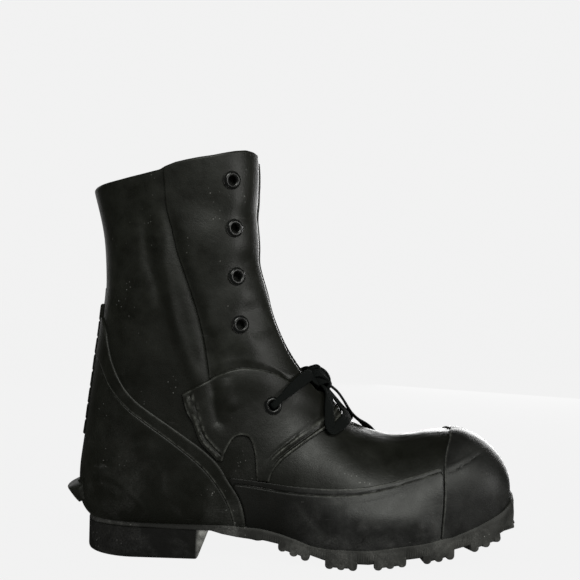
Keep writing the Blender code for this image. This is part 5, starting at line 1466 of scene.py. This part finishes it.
# The enamel mixed lighter where the rims are marked: partly rubbed wear, partly painted
# highlight.
enamel_rubbed_and_highlight = multiply(enamel_tree, carried_by(enamel_tree, "rubbed_and_highlight"),
                         ramp(enamel_tree, enamel_chips, 0.36, 0.62))
enamel_colour = mix_colour(enamel_tree, chipped, (0.0040, 0.0042, 0.0040, 1.0),
                           (0.10, 0.095, 0.085, 1.0))
enamel_colour = mix_colour(enamel_tree, enamel_rubbed_and_highlight, enamel_colour,
                           (0.085, 0.084, 0.078, 1.0))
feed(enamel_tree, enamel_shader, {
    "Base Color": enamel_colour, "Metallic": multiply(enamel_tree, chipped, 0.7),
    "Roughness": ramp(enamel_tree, enamel_chips, 0.0, 1.0, 0.12, 0.34),
    "Specular IOR Level": 0.32})

punches, rings = [], []
for side, side_name in SIDES:
    for number, (along, around) in enumerate(locate(EYELETS, side)):
        centre = sample(form, along, around)
        direction = Vector(sample(outward, along, around)).normalized()
        turn = direction.to_track_quat("Z", "Y").to_matrix().to_4x4()
        cover = OVERLAY_GAP + (PATCH if number == LOWEST else STAY) + EYELET_LIFT
        place = Matrix.Translation(Vector((centre + TO_CENTRE) * MM)) @ turn
        ring = eyelet.copy()
        ring.data = eyelet.data.copy()
        node = "eyelet_%s_%d" % (side_name, number + 1)
        ring.name = ring.data.name = node
        bpy.context.collection.objects.link(ring)
        ring.data.transform(place @ Matrix.Translation((0.0, 0.0, cover * MM)))
        rings.append((ring, node))
        bpy.ops.mesh.primitive_cylinder_add(
            vertices=36, radius=EYELET_HOLE * MM, depth=24.0 * MM,
            location=place.translation, rotation=turn.to_euler())
        punches.append(bpy.context.object)
        bpy.ops.object.transform_apply(location=True, rotation=True, scale=True)
bpy.data.objects.remove(eyelet, do_unlink=True)
punch = join_into(punches[0], punches)
for ply in (upper, *patches.values(), *stays.values()):
    select_only([ply], ply)
    apply_modifier(ply, "punched", "BOOLEAN", operation="DIFFERENCE", solver="MANIFOLD",
                   object=punch)
    bpy.ops.object.shade_smooth_by_angle(angle=math.radians(40.0))
bpy.data.objects.remove(punch, do_unlink=True)
for side, side_name in SIDES:
    finished(patches[side], black_rubber, "ankle_patch_" + side_name)
    finished(stays[side], black_rubber, "eyelet_stay_" + side_name)
for ring, node in rings:
    finished(ring, black_enamel, node)

# ---------------------------------------------------------------- laces
# One flat braided lace, matt black, runs behind the throat through the lowest eyelets
# and is tied in a bow. The bow's loops and heat-sealed ends lie down over the patches.
LACE_WIDTH, LACE_THICK, LACE_ROUND, BRAID_PITCH = 8.2, 1.9, 20, 0.95
RIB_WAVE = 2.0 * BRAID_PITCH    # a modelled rib stands for two of the braid's
# places on the last: section, share round it, height over it
KNOT = (14.9, 0.0, 3.8)
LACE_TO_EYELET = ((15.0, 0.62, 3.6), (15.3, 0.82, 4.4), (15.7, 0.98, 5.0),
                  (15.85, 1.06, 5.0), (15.9, 1.13, 5.8))
LACE_IN_EYELET = (5.9, 2.6, -2.6, -6.6)
LACE_BEHIND = ((15.87, 1.14, -6.6), (15.85, 1.07, -5.4), (15.8, 1.0, -5.2),
               (15.75, 0.5, -5.4))
LACE_MIDDLE = (15.7, 0.0, -5.4)
SEALED_AT = [0.0, 0.93, 0.97, 1.0]      # shares of an end, flat until it is sealed
LACE_ENDS = {
    "lace_loop_inner": ((14.3, 0.42, 4.4), (13.6, 0.86, 5.2), (12.9, 1.08, 5.2),
                        (12.1, 1.15, 4.6), (11.5, 1.06, 4.2), (11.5, 0.80, 4.2),
                        (12.3, 0.50, 4.4), (13.1, 0.30, 4.8), (13.9, 0.16, 5.0)),
    "lace_loop_outer": ((14.3, -0.42, 4.4), (13.6, -0.86, 5.2), (12.7, -1.10, 5.2),
                        (11.7, -1.18, 4.4), (11.0, -1.08, 3.8), (11.1, -0.80, 4.0),
                        (12.0, -0.48, 4.4), (13.0, -0.28, 4.8), (13.9, -0.16, 5.0)),
    "lace_end_long": ((14.15, 0.0, 7.4), (13.2, 0.0, 9.0), (12.2, 0.0, 8.0),
                      (11.2, -0.1, 5.6), (10.4, -0.3, 4.0), (9.8, -0.80, 3.6),
                      (9.3, -1.05, 3.4), (8.8, -1.14, 3.4), (8.45, -1.23, 3.6),
                      (8.2, -1.32, 3.8), (8.05, -1.40, 4.4), (8.0, -1.48, 5.0),
                      (7.96, -1.54, 5.6), (7.94, -1.59, 6.6)),
    "lace_end_short": ((14.8, -0.62, 4.8), (14.6, -0.85, 5.6), (14.3, -1.00, 5.8),
                       (14.0, -1.08, 5.4), (13.75, -1.16, 5.0), (13.55, -1.24, 4.8),
                       (13.4, -1.32, 4.8), (13.3, -1.40, 4.8)),
}
KNOT_WRAPS = (
    # tilt, lean, radius across, radius outward, shift up, shift to the inner side
    (14.0, 0.0, 10.2, 6.2, 4.6, 0.0), (-22.0, 8.0, 10.6, 6.0, -4.2, 0.6),
    (86.0, 4.0, 9.4, 7.8, 0.0, -0.6), (50.0, -10.0, 9.8, 5.8, 1.2, 4.6),
    (-50.0, 10.0, 9.6, 5.8, -1.0, -4.6), (8.0, -6.0, 7.8, 7.4, 0.8, 1.0))


def off_last(along, around, height):
    """A point over the plain last, where the solid laces lie, and the way out there."""
    direction = sample(plain_outward, along, around)
    return (sample(plain_form, along, around)
            + height * direction / np.linalg.norm(direction)), direction


def smooth_route(points):
    """Points along a smooth curve through a route's own points."""
    points = np.array(points)
    part = (np.arange(6) / 6.0)[:, None]
    return np.concatenate([smooth_between(points, index, part)
                           for index in range(len(points) - 1)] + [points[-1:]])


def evenly(points, facing, spacing):
    """A route and its facing directions at even steps, and how far along each lies."""
    steps = np.linalg.norm(np.diff(points, axis=0), axis=1)
    distance = np.concatenate([[0.0], np.cumsum(steps)])
    travel = np.linspace(0.0, distance[-1], max(int(distance[-1] / spacing), 8) + 1)
    points, facing = (np.stack([np.interp(travel, distance, column) for column in table.T], 1)
                      for table in (points, facing))
    return points, facing, travel


def lace_frames(points, facing):
    """The direction, the flat side's normal and the direction across at each point, the
    flat side turned slowly towards facing where that is well across the lace."""
    ahead = np.gradient(points, axis=0)
    ahead /= np.linalg.norm(ahead, axis=1, keepdims=True)
    carried = np.zeros_like(points)
    normal = facing[0] - (facing[0] @ ahead[0]) * ahead[0]
    for index in range(len(points)):
        normal = normal - (normal @ ahead[index]) * ahead[index]
        normal = normal / np.linalg.norm(normal)
        carried[index] = normal
    wanted = facing - (facing * ahead).sum(axis=1, keepdims=True) * ahead
    size = np.linalg.norm(wanted, axis=1)
    beside = np.cross(ahead, carried)
    angle = np.arctan2((wanted * beside).sum(axis=1), (wanted * carried).sum(axis=1))
    known = size > 0.5
    angle[known] = np.unwrap(angle[known], period=math.pi)
    index = np.arange(len(points))
    angle = np.interp(index, index[known], angle[known])
    angle = np.convolve(np.pad(angle, 7, mode="edge"), np.ones(15) / 15.0, "valid")[:, None]
    normal = carried * np.cos(angle) + beside * np.sin(angle)
    return ahead, normal, np.cross(ahead, normal)


def woven_lace(name, points, facing, width=None, thick=None):
    """A flat braid along a route in mm, closed at both ends, with its ribs modelled. It
    carries how far along and across the braid each point lies, for the material."""
    points, facing, travel = evenly(points, facing, 0.62)
    _, normal, across = lace_frames(points, facing)
    share = np.linspace(0.0, 1.0, len(points))
    wide = np.full(len(points), LACE_WIDTH) if width is None else np.interp(share, *width)
    deep = np.full(len(points), LACE_THICK) if thick is None else np.interp(share, *thick)
    turn = np.linspace(0.0, 2.0 * math.pi, LACE_ROUND + 1)[:-1]
    side = np.sign(np.cos(turn)) * np.abs(np.cos(turn)) ** 0.75
    face = np.sign(np.sin(turn)) * np.abs(np.sin(turn)) ** 0.55
    chevron = np.cos(2.0 * math.pi * (travel[:, None] / RIB_WAVE + 0.8 * np.abs(side)[None, :]))
    rib = 1.0 + 0.10 * chevron * (np.abs(face) > 0.5)[None, :]
    net = (points[:, None]
           + 0.5 * wide[:, None, None] * side[None, :, None] * across[:, None]
           + 0.5 * (deep[:, None] * face[None, :] * rib)[..., None] * normal[:, None])
    net = np.concatenate([np.repeat(points[:1, None], LACE_ROUND, axis=1), net,
                          np.repeat(points[-1:, None], LACE_ROUND, axis=1)])
    lace = net_of(name, net, braid_along=np.pad(travel, 1, mode="edge")[:, None],
                  braid_across=np.abs(side)[None, :])
    bpy.ops.object.shade_smooth_by_angle(angle=math.radians(60.0))
    return lace, points


plain_outward = outward_of(plain_form)
black_braid, braid_tree, braid_shader = new_material("black_braid")
braid_slant = multiply(braid_tree, carried_by(braid_tree, "braid_across"), 1.52)
braid_phase = reckon(braid_tree, "ADD", carried_by(braid_tree, "braid_along"), braid_slant)
braid_wave = reckon(braid_tree, "SINE",
                    multiply(braid_tree, braid_phase, 2.0 * math.pi / BRAID_PITCH))
braid_fuzz = noise(braid_tree, place_on(braid_tree), 1800.0, 3.0, 0.6)
braid_height = reckon(braid_tree, "ADD", multiply(braid_tree, braid_wave, 0.5), braid_fuzz)
braid_colour = mix_colour(braid_tree, ramp(braid_tree, braid_height, -0.1, 1.1),
                          (0.0010, 0.0015, 0.0013, 1.0), (0.0038, 0.0048, 0.0043, 1.0))
braid_bump = add_step(braid_tree, "ShaderNodeBump",
                      {"Height": braid_height, "Strength": 0.7, "Distance": 0.00025})
feed(braid_tree, braid_shader, {
    "Base Color": braid_colour, "Normal": braid_bump.outputs["Normal"], "Roughness": 0.88,
    "Specular IOR Level": 0.12})

halves = []
for side in (1, -1):
    along, around = locate(EYELETS[-1:], side)[0]
    places = [(row, side * place, height) for row, place, height in LACE_TO_EYELET]
    places += [(along, around, height) for height in LACE_IN_EYELET]
    places += [(row, side * place, height) for row, place, height in LACE_BEHIND]
    halves.append(places)
run_places = halves[0] + [LACE_MIDDLE] + halves[1][::-1]
run_route, run_facing = zip(*(off_last(*place) for place in run_places))
run_points, run_facing = smooth_route(run_route), smooth_route(run_facing)
to_eyelet = [0.0, 0.10, 0.165, 0.19, 0.25, 0.30]
width_there, thick_there = [9.0, 9.0, 7.2, 5.0, 4.8, 6.8], [1.9, 1.9, 2.4, 3.0, 3.0, 1.9]
run_shares = to_eyelet + [1.0 - share for share in to_eyelet[::-1]]
lace_run, _ = woven_lace("lace_run", run_points, run_facing,
                         width=(run_shares, width_there + width_there[::-1]),
                         thick=(run_shares, thick_there + thick_there[::-1]))
finished(lace_run, black_braid, "lace_run")

knot_centre, knot_out = off_last(*KNOT)
knot_out = knot_out / np.linalg.norm(knot_out)
knot_up = off_last(15.3, 0.0, 3.2)[0] - off_last(14.5, 0.0, 3.2)[0]
knot_up -= (knot_up @ knot_out) * knot_out
knot_up /= np.linalg.norm(knot_up)
knot_side = np.cross(knot_up, knot_out)
wraps = []
for number, (tilt, lean, wide_radius, off_radius, shift_up, shift_side) in enumerate(
        KNOT_WRAPS):
    tilt, lean = math.radians(tilt), math.radians(lean)
    flat_way = math.cos(tilt) * knot_side + math.sin(tilt) * knot_up
    off_way = math.cos(lean) * knot_out + math.sin(lean) * np.cross(flat_way, knot_out)
    turn = np.linspace(-0.5 * math.pi, 1.62 * math.pi, 60)[:, None]
    middle = knot_centre + shift_up * knot_up + shift_side * knot_side
    ring = (middle + wide_radius * np.cos(turn) * flat_way
            + off_radius * np.sin(turn) * off_way)
    away = np.cos(turn) * flat_way + np.sin(turn) * off_way
    wrap, _ = woven_lace("knot_wrap_%d" % number, ring, away,
                         width=([0.0, 0.06, 0.94, 1.0], [4.0, 7.8, 7.8, 4.0]),
                         thick=([0.0, 1.0], [2.4, 2.4]))
    wraps.append(wrap)
lace_knot = join_into(wraps[2], wraps)
lace_knot.name = lace_knot.data.name = "lace_bow_knot"
finished(lace_knot, black_braid, "lace_knot")

for name, places in LACE_ENDS.items():
    route, facing = zip(*(off_last(*place) for place in places))
    is_loop = name.startswith("lace_loop")
    lace, points = woven_lace(
        name.replace("lace_", "bow_"), smooth_route(route), smooth_route(facing),
        width=None if is_loop else (SEALED_AT, [LACE_WIDTH, LACE_WIDTH, 5.6, 4.4]),
        thick=None if is_loop else (SEALED_AT, [LACE_THICK, LACE_THICK, 1.5, 1.2]))
    finished(lace, black_braid, name)
